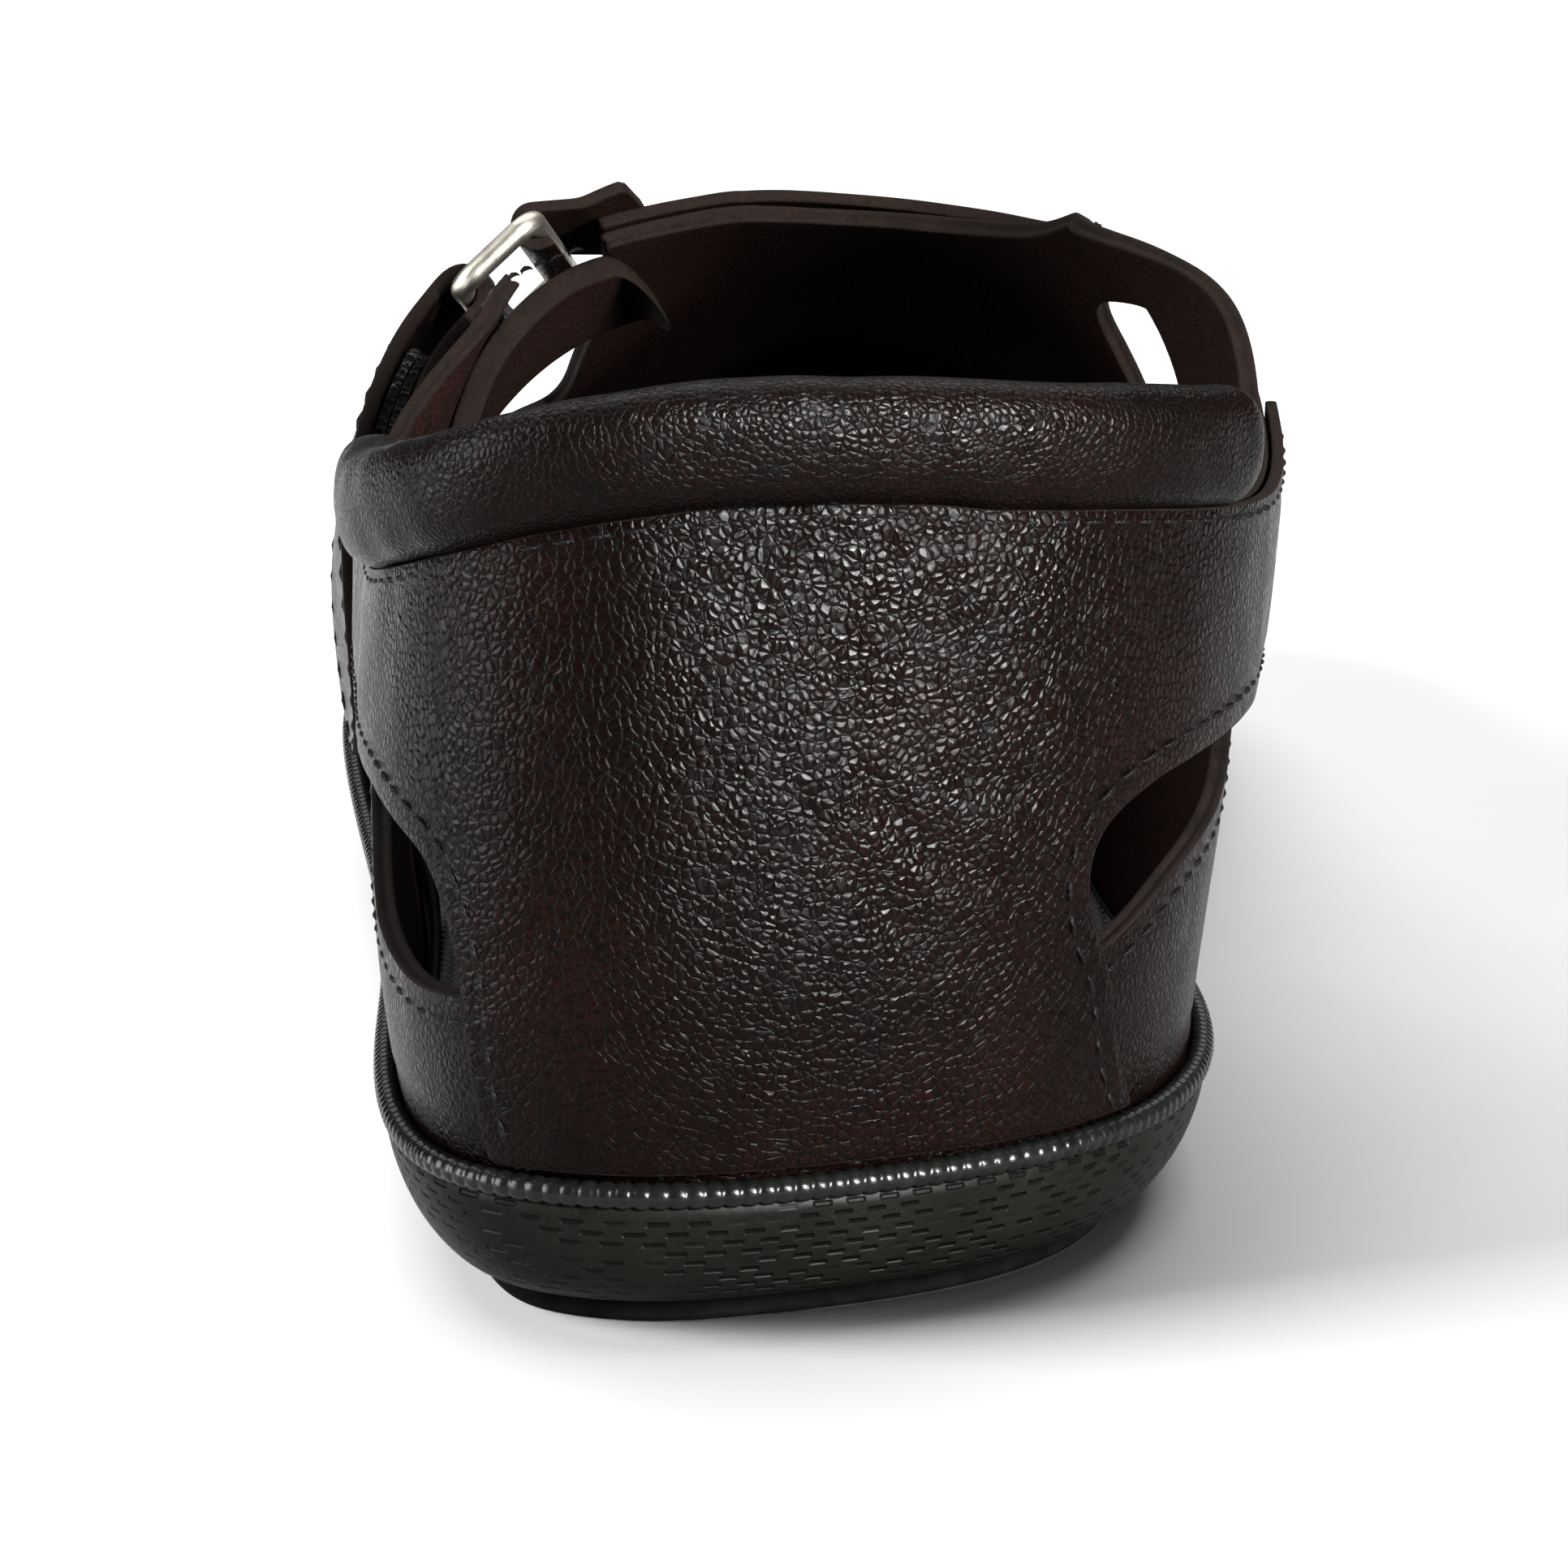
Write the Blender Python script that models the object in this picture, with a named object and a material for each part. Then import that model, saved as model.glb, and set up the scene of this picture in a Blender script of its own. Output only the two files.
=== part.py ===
"""Left shoe of a pair: a leather sandal with a closed toe, a closed heel and open sides.

Metres, +Z up. The toe points to +Y, the outer (lateral) side is -X and the inner (medial) side is +X.
Every leather piece is worked out from one surface, the last: stations run round the foot from the
heel's back (0) to the toe's tip (19), negative on the lateral side, and v runs from the feather line
(0) up and over to the ridge of the foot (1).
"""
import bpy
import bmesh
import numpy as np

# Driving sizes
LENGTH = 0.280
BALL_WIDTH = 0.0985
INSTEP_HEIGHT = 0.088
WALL = 0.0020
OVERLAY = 0.0013
GAP = 0.0003
TOE_SPRING = 0.0080
ARCH_RISE = 0.0015
SPRING_START = 0.66
SOLE_MARGIN = 0.0024
OUTSOLE_THICKNESS = 0.0026
OUTSOLE_INSET = 0.0070
INSOLE_THICKNESS = 0.0025
COLLAR_HEIGHT = 0.0112
COLLAR_THICKNESS = 0.0078
COLLAR_LEAN = 0.0007
STRAP_WIDTH = 0.0245
STRAP_THICKNESS = 0.0016
PAD_THICKNESS = 0.0009
PAD_WIDTH = 0.0200
RING_WIRE = 0.0012
RING_LENGTH = 0.0300
RING_REACH = 0.0078
RING_CORNER = 0.0022
TAB_THICKNESS = 0.0013
TAB_WIDTH = 0.0235
FLAP_THICKNESS = 0.0026
FLAP_WIDTH = 0.0230
FLAP_DROOP = 0.0040
STRAP_DROOP = 0.0013
STRAP_SAG = 0.0005

# Mesh density
UPPER_ROWS = 10
HEEL_COLUMNS = 30
THROAT_COLUMNS = 14
FRONT_COLUMNS = 16
SOLE_STATIONS = 34
STRIP_POINTS = 5

# Feather line. Columns: row, lateral x, lateral y, medial x, medial y, height
# (x in ball widths, y in lengths, height in instep heights)
FEATHER = (
    ("heel_back", -0.071, 0.0086, -0.071, 0.0086, 0.170),
    ("heel_1", -0.162, 0.0071, 0.026, 0.0179, 0.170),
    ("heel_2", -0.252, 0.0175, 0.130, 0.0329, 0.170),
    ("heel_3", -0.321, 0.0421, 0.229, 0.0557, 0.169),
    ("heel_4", -0.361, 0.0857, 0.313, 0.0907, 0.167),
    ("heel_5", -0.378, 0.1393, 0.368, 0.1393, 0.164),
    ("heel_6", -0.384, 0.1964, 0.390, 0.1946, 0.160),
    ("waist_1", -0.386, 0.2554, 0.388, 0.2536, 0.157),
    ("waist_2", -0.391, 0.3143, 0.370, 0.3143, 0.155),
    ("waist_3", -0.402, 0.3714, 0.355, 0.3714, 0.155),
    ("waist_4", -0.420, 0.4321, 0.357, 0.4321, 0.157),
    ("joint_1", -0.441, 0.5000, 0.382, 0.5000, 0.161),
    ("joint_2", -0.461, 0.5714, 0.426, 0.5714, 0.168),
    ("ball_1", -0.473, 0.6429, 0.473, 0.6429, 0.177),
    ("ball_2", -0.467, 0.7143, 0.502, 0.7143, 0.191),
    ("toe_1", -0.443, 0.7857, 0.504, 0.7821, 0.207),
    ("toe_2", -0.394, 0.8525, 0.482, 0.8489, 0.225),
    ("toe_3", -0.304, 0.9135, 0.413, 0.9105, 0.242),
    ("toe_4", -0.154, 0.9600, 0.276, 0.9590, 0.256),
    ("toe_tip", 0.060, 0.9779, 0.060, 0.9779, 0.261),
)

# Wall of the last. Columns: row, lateral bulge, rise and shoulder, medial bulge, rise and shoulder
# (bulge and shoulder in ball widths, rise in instep heights)
WALLS = (
    ("heel_back", 0.046, 0.295, 0.025, 0.046, 0.295, 0.025),
    ("heel_1", 0.049, 0.295, 0.030, 0.047, 0.295, 0.030),
    ("heel_2", 0.050, 0.290, 0.030, 0.047, 0.295, 0.038),
    ("heel_3", 0.050, 0.280, 0.022, 0.044, 0.295, 0.048),
    ("heel_4", 0.052, 0.265, 0.010, 0.034, 0.295, 0.062),
    ("heel_5", 0.058, 0.255, 0.000, 0.024, 0.295, 0.077),
    ("heel_6", 0.060, 0.250, -0.004, 0.022, 0.295, 0.087),
    ("waist_1", 0.056, 0.270, 0.020, 0.040, 0.305, 0.092),
    ("waist_2", 0.052, 0.320, 0.120, 0.084, 0.345, 0.240),
    ("waist_3", 0.050, 0.375, 0.335, 0.124, 0.430, 0.600),
    ("waist_4", 0.052, 0.350, 0.315, 0.130, 0.410, 0.565),
    ("joint_1", 0.058, 0.305, 0.265, 0.118, 0.365, 0.500),
    ("joint_2", 0.060, 0.250, 0.262, 0.090, 0.305, 0.445),
    ("ball_1", 0.055, 0.216, 0.274, 0.061, 0.250, 0.396),
    ("ball_2", 0.046, 0.182, 0.294, 0.043, 0.205, 0.355),
    ("toe_1", 0.041, 0.153, 0.274, 0.037, 0.170, 0.315),
    ("toe_2", 0.036, 0.136, 0.244, 0.033, 0.148, 0.274),
    ("toe_3", 0.032, 0.125, 0.223, 0.031, 0.131, 0.239),
    ("toe_4", 0.030, 0.118, 0.208, 0.030, 0.120, 0.213),
    ("toe_tip", 0.030, 0.116, 0.203, 0.030, 0.116, 0.203),
)

# Top of the last behind the instep. Columns: row, lateral inset, medial inset, height, shoulder drop
# (insets in ball widths, height and drop in instep heights)
TOPS = (
    ("heel_back", 0.071, 0.071, 1.080, 0.295),
    ("heel_1", 0.069, 0.069, 1.080, 0.295),
    ("heel_2", 0.061, 0.061, 1.080, 0.295),
    ("heel_3", 0.045, 0.041, 1.085, 0.295),
    ("heel_4", 0.026, 0.016, 1.091, 0.295),
    ("heel_5", 0.014, -0.010, 1.102, 0.295),
    ("heel_6", 0.006, -0.030, 1.114, 0.295),
    ("waist_1", 0.002, -0.043, 1.125, 0.273),
    ("waist_2", 0.117, 0.085, 1.119, 0.165),
)

# Ridge of the foot. Columns: row, x in ball widths, y in lengths, height in instep heights, tilt
RIDGE = (
    ("waist_3", -0.030, 0.3732, 1.051, 0.02),
    ("waist_4", -0.036, 0.4321, 0.989, 0.04),
    ("joint_1", -0.030, 0.5000, 0.898, 0.07),
    ("joint_2", -0.020, 0.5714, 0.790, 0.07),
    ("ball_1", -0.005, 0.6429, 0.682, 0.06),
    ("ball_2", 0.010, 0.7107, 0.597, 0.04),
    ("toe_1", 0.025, 0.7679, 0.540, 0.02),
    ("toe_2", 0.036, 0.8107, 0.506, 0.01),
    ("toe_3", 0.043, 0.8411, 0.484, 0.00),
    ("toe_4", 0.048, 0.8607, 0.470, 0.00),
    ("toe_tip", 0.051, 0.8714, 0.464, 0.00),
)

# Cut lines on the last. Columns: station, v
SEAM = (
    (-7.2, 0.575), (-6.0, 0.588), (-5.0, 0.603), (-4.4, 0.620), (-3.2, 0.672), (-2.5, 0.700),
    (-1.9, 0.720), (-1.0, 0.738), (0.0, 0.748), (1.0, 0.747), (1.9, 0.739), (2.5, 0.726),
    (3.5, 0.706), (4.5, 0.674), (5.5, 0.646), (6.5, 0.643), (7.2, 0.660),
)
COLLAR_ENDS = (-5.7, 4.9)
THROAT_LATERAL = (
    (7.2, 0.575), (7.9, 0.578), (8.7, 0.610), (9.4, 0.670), (10.0, 0.740), (10.4, 0.810),
    (10.62, 0.880), (10.7, 0.940), (10.7, 1.0),
)
THROAT_MEDIAL = (
    (7.2, 0.660), (7.4, 0.698), (7.7, 0.728), (8.2, 0.742), (8.9, 0.740), (9.7, 0.742),
    (10.3, 0.765), (10.72, 0.815), (10.86, 0.875), (10.85, 0.935), (10.7, 1.0),
)
HEEL_EDGE_LATERAL = (
    (2.05, -0.06), (2.30, 0.06), (2.42, 0.20), (2.48, 0.25), (2.60, 0.30), (2.75, 0.335),
    (3.0, 0.365), (3.5, 0.388), (4.0, 0.402), (4.6, 0.408), (5.4, 0.405), (6.2, 0.398),
    (7.0, 0.385), (7.8, 0.370),
)
HEEL_EDGE_MEDIAL = (
    (3.95, -0.06), (3.72, 0.03), (3.49, 0.10), (3.35, 0.185), (3.20, 0.24), (3.12, 0.28),
    (3.12, 0.32), (3.22, 0.355), (3.45, 0.383), (3.8, 0.403), (4.3, 0.413), (5.2, 0.415),
    (6.2, 0.408), (7.0, 0.390), (7.8, 0.370),
)
LOW_EDGE_LATERAL = (
    (2.43, 0.205), (3.1, 0.200), (3.6, 0.203), (4.12, 0.213), (5.0, 0.235), (5.7, 0.265),
    (6.2, 0.300), (6.6, 0.345), (6.8, 0.388),
)
LOW_EDGE_MEDIAL = (
    (3.29, 0.208), (3.55, 0.222), (3.9, 0.245), (4.3, 0.270), (4.9, 0.292), (5.6, 0.312),
    (6.2, 0.338), (6.6, 0.365), (6.8, 0.394),
)
GAP_LATERAL = (
    (9.25, 0.74), (9.36, 0.665), (9.72, 0.618), (10.18, 0.590), (10.58, 0.550), (10.50, 0.475),
    (10.35, 0.400), (10.28, 0.300), (10.42, 0.215), (10.78, 0.170), (11.15, 0.205), (11.45, 0.290),
    (11.75, 0.390), (12.10, 0.490), (12.52, 0.590), (12.88, 0.665), (12.62, 0.708), (12.05, 0.738),
    (11.4, 0.775), (10.7, 0.800), (10.2, 0.815), (9.80, 0.830), (9.50, 0.815),
)
GAP_MEDIAL = (
    (10.30, 0.634), (9.70, 0.613), (9.15, 0.588), (8.85, 0.545), (8.85, 0.460), (9.05, 0.360),
    (9.42, 0.265), (9.88, 0.205), (10.3, 0.170), (10.72, 0.205), (10.95, 0.290), (11.03, 0.390),
    (10.98, 0.490), (10.82, 0.600),
)
PANEL_REAR = (
    (-0.185, 10.42), (-0.13, 10.60), (-0.06, 10.71), (0.0, 10.72), (0.065, 10.85), (0.13, 10.90),
    (0.20, 10.76), (0.265, 10.32), (0.30, 9.80),
)
PANEL_FRONT = (
    (-0.205, 11.30), (-0.15, 11.80), (-0.07, 12.05), (0.0, 12.12), (0.075, 12.10), (0.15, 12.0),
    (0.225, 11.75), (0.295, 11.35), (0.335, 10.95),
)

# Strap, flap and ring on the last. Columns: station, v
STRAP_LINE = ((9.20, 0.150), (9.35, 0.24), (9.55, 0.33), (9.80, 0.42), (10.14, 0.51), (10.52, 0.60))
FLAP_PATH = (
    (9.3, 0.40), (9.65, 0.48), (10.05, 0.57), (10.4, 0.66), (10.7, 0.745), (10.9, 0.80), (11.02, 0.835),
)
TAB_LINE = ((10.80, 0.870), (10.73, 0.810))
RING_STATION = 10.55
RING_V = 0.690
RING_LIFT = 0.0026
HEEL_PIECE_FOOT = 0.022

# Side of the sole. Columns: row, out in metres, height as a share of the sole's thickness
HULL = (
    ("bottom_edge", -0.0062, 0.160),
    ("turn_1", -0.0043, 0.180),
    ("turn_2", -0.0025, 0.250),
    ("side_1", -0.0008, 0.380),
    ("side_2", 0.0004, 0.530),
    ("side_3", 0.0012, 0.690),
    ("side_4", 0.0016, 0.840),
    ("bead_under", 0.0021, 0.880),
    ("bead_out", 0.0024, 0.960),
    ("bead_top", 0.0015, 1.050),
    ("bead_in", 0.0004, 0.990),
    ("seat_edge", 0.0003, 0.980),
    ("seat", -0.0024, 0.980),
)

COLORS = {
    "leather": (0.030, 0.020, 0.016, 1.0, 0.42, 0.0),
    "leather_edge": (0.035, 0.020, 0.015, 1.0, 0.75, 0.0),
    "sole": (0.018, 0.021, 0.019, 1.0, 0.45, 0.0),
    "tread": (0.012, 0.012, 0.012, 1.0, 0.70, 0.0),
    "lining": (0.045, 0.045, 0.047, 1.0, 0.90, 0.0),
    "hook": (0.014, 0.013, 0.013, 1.0, 0.85, 0.0),
    "metal": (0.55, 0.53, 0.48, 1.0, 0.30, 1.0),
}


def spline(values, start=None, end=None):
    """Cubic spline through rows at whole knots; start and end are slopes, natural where None."""
    rows = np.asarray(values, float)
    count = len(rows)
    matrix = np.zeros((count, count))
    right = np.zeros_like(rows)
    for i in range(1, count - 1):
        matrix[i, i - 1:i + 2] = (1, 4, 1)
        right[i] = 3 * (rows[i + 1] - rows[i - 1])
    if start is None:
        matrix[0, :2] = (2, 1)
        right[0] = 3 * (rows[1] - rows[0])
    else:
        matrix[0, 0] = 1
        right[0] = start
    if end is None:
        matrix[-1, -2:] = (1, 2)
        right[-1] = 3 * (rows[-1] - rows[-2])
    else:
        matrix[-1, -1] = 1
        right[-1] = end
    slopes = np.linalg.solve(matrix, right)

    def at(knot):
        knot = np.asarray(knot, float)
        k = np.clip(np.floor(knot).astype(int), 0, count - 2)
        return hermite(rows[k], rows[k + 1], slopes[k], slopes[k + 1], (knot - k)[..., None])

    return at


def loop_spline(values):
    """Cubic spline through rows at whole knots, closed into a loop."""
    rows = np.asarray(values, float)
    count = len(rows)
    i = np.arange(count)
    matrix = np.zeros((count, count))
    matrix[i, i] = 4
    matrix[i, (i + 1) % count] = 1
    matrix[i, (i - 1) % count] = 1
    slopes = np.linalg.solve(matrix, 3 * (np.roll(rows, -1, 0) - np.roll(rows, 1, 0)))

    def at(knot):
        knot = np.asarray(knot, float)
        k = np.floor(knot).astype(int)
        a, b = k % count, (k + 1) % count
        return hermite(rows[a], rows[b], slopes[a], slopes[b], (knot - k)[..., None])

    return at


def hermite(a, b, slope_a, slope_b, t):
    """Cubic between a and b with the slopes given at both ends."""
    h0 = 2 * t**3 - 3 * t**2 + 1
    h1 = t**3 - 2 * t**2 + t
    return h0 * a + h1 * slope_a + (1 - h0) * b + (t**3 - t**2) * slope_b


def line(table, q):
    """Smooth line through a short table, q from 0 at its first row to 1 at its last."""
    return spline(table)(np.asarray(q, float) * (len(table) - 1))


def seam_v(station):
    """v of the collar seam at a station."""
    table = np.array(SEAM)
    fine = line(SEAM, np.linspace(0, 1, 200))
    return np.interp(station, fine[:, 0], fine[:, 1], left=table[0, 1], right=table[-1, 1])


def floor_rise(y):
    """Height of the sole's underside over the floor: the arch, then the toe spring."""
    share = np.asarray(y, float) / LENGTH
    toe = np.clip((share - SPRING_START) / (1 - SPRING_START), 0, None)
    waist = np.clip((share - 0.27) / (0.54 - 0.27), 0, 1)
    return TOE_SPRING * toe**2 + ARCH_RISE * np.sin(np.pi * waist)**2


class Last:
    """The surface that the leather pieces follow."""

    ends = len(FEATHER) - 1
    bend = len(TOPS)

    def __init__(self):
        size = np.array((BALL_WIDTH, LENGTH, INSTEP_HEIGHT))
        keys = list(range(self.ends + 1)) + list(range(self.ends - 1, 0, -1))
        sides = [1] * (self.ends + 1) + [-1] * (self.ends - 1)
        base = []
        for k, side in zip(keys, sides):
            row = FEATHER[k]
            xy = row[3:5] if side > 0 else row[1:3]
            base.append(np.array((xy[0], xy[1], row[5])) * size)
        self.base = loop_spline(base)
        ridge = np.array([row[1:4] for row in RIDGE]) * size
        self.ridge = spline(ridge)
        low, high, tops = [], [], []
        for j, (k, side) in enumerate(zip(keys, sides)):
            wall = WALLS[k]
            bulge, rise, shoulder = wall[4:7] if side > 0 else wall[1:4]
            out = self.outward(j)
            low.append(base[j] + out * bulge * BALL_WIDTH + np.array((0, 0, rise * INSTEP_HEIGHT)))
            if k < self.bend:
                top_row = TOPS[k]
                inset = top_row[2] if side > 0 else top_row[1]
                top = base[j] - out * inset * BALL_WIDTH
                top[2] = top_row[3] * INSTEP_HEIGHT
                drop = -top_row[4] * INSTEP_HEIGHT
            else:
                top = ridge[k - self.bend]
                along = self.ridge(k - self.bend + 0.01) - self.ridge(k - self.bend)
                slope = along[2] / along[1]
                tilt = RIDGE[k - self.bend][4]
                drop = shoulder * BALL_WIDTH * (out[1] * slope + out[0] * tilt)
            tops.append(top)
            high.append(top + out * shoulder * BALL_WIDTH + np.array((0, 0, drop)))
        self.low = loop_spline(low)
        self.high = loop_spline(high)
        rear = [tops[-k] for k in range(self.bend, 0, -1)] + tops[:self.bend + 1]
        slope = (self.ridge(0.001) - self.ridge(0.0)) / 0.001
        self.rear = spline(rear, -slope, slope)

    def outward(self, knot):
        """Level unit vector pointing out of the feather line."""
        along = self.base(knot + 0.001) - self.base(knot - 0.001)
        out = np.stack((along[..., 1], -along[..., 0], 0 * along[..., 0]), -1)
        return out / np.linalg.norm(out, axis=-1)[..., None]

    def top(self, station):
        """Top end of the wall's curve: the ankle's rim behind, the ridge in front."""
        far = np.abs(station)
        rear = self.rear(np.clip(station, -self.bend, self.bend) + self.bend)
        front = self.ridge(np.clip(far - self.bend, 0, self.ends - self.bend))
        return np.where((far <= self.bend)[..., None], rear, front)

    def at(self, station, v):
        """Point of the surface."""
        station = np.asarray(station, float)
        v = np.asarray(v, float)[..., None]
        knot = np.where(station < 0, station + 2 * self.ends, station)
        w = 1 - v
        return (w**3 * self.base(knot) + 3 * w**2 * v * self.low(knot)
                + 3 * w * v**2 * self.high(knot) + v**3 * self.top(station))

    def normal(self, station, v):
        """Unit normal of the surface, pointing out of the shoe."""
        station = np.asarray(station, float)
        v = np.asarray(v, float)
        along = self.at(station + 0.002, v) - self.at(station - 0.002, v)
        up = self.at(station, v + 0.001) - self.at(station, v - 0.001)
        out = np.cross(along, up)
        return out / np.linalg.norm(out, axis=-1)[..., None]

    def off(self, station, v, distance):
        """Point at a distance outside the surface."""
        return self.at(station, v) + self.normal(station, v) * np.asarray(distance)[..., None]


LAST = Last()


def over(across, forward, distance=0.0):
    """Point over the foot: across is -1 to 1 from side to side with the ridge at 0."""
    across = np.asarray(across, float)
    station = np.where(across < 0, -1.0, 1.0) * np.asarray(forward, float)
    near = np.where(np.abs(across) < 0.004, 0.004, np.abs(across))
    out = LAST.normal(station, 1 - near)
    return LAST.at(station, 1 - np.abs(across)) + out * distance


def material(name):
    """Principled material of one of the named colours."""
    red, green, blue, alpha, rough, metal = COLORS[name]
    made = bpy.data.materials.get(name) or bpy.data.materials.new(name)
    made.use_nodes = True
    shader = made.node_tree.nodes["Principled BSDF"]
    shader.inputs["Base Color"].default_value = (red, green, blue, alpha)
    shader.inputs["Roughness"].default_value = rough
    shader.inputs["Metallic"].default_value = metal
    return made


def make_object(name, points, faces, finish, parent, flat=False):
    """Mesh object with its faces turned outwards; flat splits them for a clean Boolean."""
    mesh = bpy.data.meshes.new(name)
    build = bmesh.new()
    verts = [build.verts.new(point) for point in points]
    for face in faces:
        build.faces.new([verts[i] for i in face])
    bmesh.ops.remove_doubles(build, verts=build.verts, dist=1e-6)
    bmesh.ops.recalc_face_normals(build, faces=build.faces)
    if flat:
        bmesh.ops.triangulate(build, faces=build.faces)
    build.to_mesh(mesh)
    build.free()
    made = bpy.data.objects.new(name, mesh)
    made.data.materials.append(material(finish))
    made.parent = parent
    bpy.context.collection.objects.link(made)
    return made


def grid_faces(rows, columns, closed=False):
    """Quads of a grid of points, rows by columns, closed along its columns if asked."""
    faces = []
    for i in range(rows - 1):
        for j in range(columns if closed else columns - 1):
            k = (j + 1) % columns
            faces.append((i * columns + j, i * columns + k, (i + 1) * columns + k, (i + 1) * columns + j))
    return faces


def weld(points, normals, faces):
    """Joins points that lie on each other and averages their normals."""
    keys = np.round(points / 2e-6).astype(np.int64)
    unique, first, index = np.unique(keys, axis=0, return_index=True, return_inverse=True)
    index = index.ravel()
    joined = np.zeros((len(unique), 3))
    np.add.at(joined, index, normals)
    joined /= np.linalg.norm(joined, axis=1)[:, None]
    kept = []
    for face in faces:
        ring = list(dict.fromkeys(int(index[i]) for i in face))
        if len(ring) > 2:
            kept.append(ring)
    return points[first], joined, kept


def thick_sheet(points, normals, faces, outside, inside):
    """Points and faces of a sheet with a wall, from outside to inside along its normals."""
    points, normals, faces = weld(points, normals, faces)
    count = len(points)
    edges = {}
    for face in faces:
        for a, b in zip(face, face[1:] + face[:1]):
            edges[(a, b)] = edges.get((a, b), 0) + 1
    solid = [tuple(face) for face in faces] + [tuple(i + count for i in reversed(face)) for face in faces]
    for a, b in edges:
        if (b, a) not in edges:
            solid.append((b, a, a + count, b + count))
    both = np.concatenate((points + normals * outside, points + normals * inside))
    return both, solid


def cutter(name, outline, side, body, centre, reach=0.009):
    """Plug through the wall along an outline on the last, with a Boolean on each body."""
    station = outline[:, 0] * side
    v = outline[:, 1]
    outer = LAST.off(station, v, np.full(len(v), reach))
    inner = LAST.off(station, v, np.full(len(v), -reach))
    caps = np.stack([LAST.off(centre[0] * side, centre[1], d) for d in (reach, -reach)])
    count = len(v)
    points = np.concatenate((outer, inner, caps))
    faces = []
    for i in range(count):
        k = (i + 1) % count
        faces.append((i, k, k + count, i + count))
        faces.append((k, i, 2 * count))
        faces.append((i + count, k + count, 2 * count + 1))
    plug = make_object(name, points, faces, "leather", body[0].parent, flat=True)
    plug.hide_render = True
    plug.display_type = "WIRE"
    for made in body:
        cut = made.modifiers.new(name, "BOOLEAN")
        cut.operation = "DIFFERENCE"
        cut.solver = "EXACT"
        cut.object = plug
    return plug


def rear_window(heel_edge, low_edge):
    """Outline of a side window: under the heel piece's edge and over the low wall."""
    fine = line(heel_edge, np.linspace(0, 1, 240))
    low = line(low_edge, np.linspace(0, 1, 15))
    start = np.argmin(np.hypot(fine[:, 0] - low[0, 0], (fine[:, 1] - low[0, 1]) * 20))
    end = np.argmin(np.hypot(fine[:, 0] - low[-1, 0], (fine[:, 1] - low[-1, 1]) * 20))
    top = line(heel_edge, np.linspace(start, end, 18) / 239)
    return np.concatenate((top, low[::-1][1:-1]))


def under_heel_piece(heel_edge):
    """Outline of what is cut away below and before the heel piece's edge."""
    edge = line(heel_edge, np.linspace(0, 1, 26))
    return np.concatenate((edge, ((9.0, edge[-1, 1]), (9.0, -0.06))))


def upper_columns():
    """Chart lines of the upper: foot station, top station and top v, heel to toe on each side."""
    heel = np.linspace(0, 7.2, HEEL_COLUMNS // 2 + 1)
    columns = []
    for side, table in ((-1, THROAT_LATERAL), (1, THROAT_MEDIAL)):
        half = [(k * side, k * side, float(seam_v(k * side))) for k in heel]
        q = np.linspace(0, 1, THROAT_COLUMNS + 1)[1:]
        for share, (station, v) in zip(q, line(table, q)):
            foot = heel[-1] + share * (table[-1][0] - heel[-1])
            half.append((foot * side, station * side, min(v, 1.0)))
        front = np.linspace(table[-1][0], LAST.ends, FRONT_COLUMNS + 1)[1:]
        half += [(k * side, k * side, 1.0) for k in front]
        columns.append(half)
    lateral, medial = columns
    return np.array(lateral[::-1][1:] + medial[1:]), len(lateral)


def make_upper(parent):
    """One hollow solid: low walls, side bands and vamp, open at the collar, throat and sides."""
    columns, _ = upper_columns()
    rise = np.linspace(0, 1, UPPER_ROWS)
    foot, station, v = (columns[:, i][:, None] for i in range(3))
    stations = foot + (station - foot) * rise
    heights = v * rise
    points = LAST.at(stations, heights).reshape(-1, 3)
    normals = LAST.normal(stations, np.clip(heights, 0.0, 0.996)).reshape(-1, 3)
    count = len(columns)
    faces = []
    for i in range(count):
        k = (i + 1) % count
        for j in range(UPPER_ROWS - 1):
            a, b = i * UPPER_ROWS + j, k * UPPER_ROWS + j
            faces.append((a, b, b + 1, a + 1))
    solid = thick_sheet(points, normals, faces, 0.0, -WALL)
    upper = make_object("upper", *solid, "leather", parent, flat=True)
    cutter("cut_gap_lateral", line_loop(GAP_LATERAL, 2), -1, [upper], (11.10, 0.60))
    cutter("cut_gap_medial", line_loop(GAP_MEDIAL, 2), 1, [upper], (10.25, 0.40))
    return upper


def weld_cuts(made):
    """Last modifier of a cut sheet: joins points that two cuts leave in one place."""
    join = made.modifiers.new("weld", "WELD")
    join.merge_threshold = 0.00002


def line_loop(table, steps):
    """Closed smooth line through a short table."""
    knots = np.arange(len(table) * steps) / steps
    return loop_spline(table)(knots)


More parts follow.
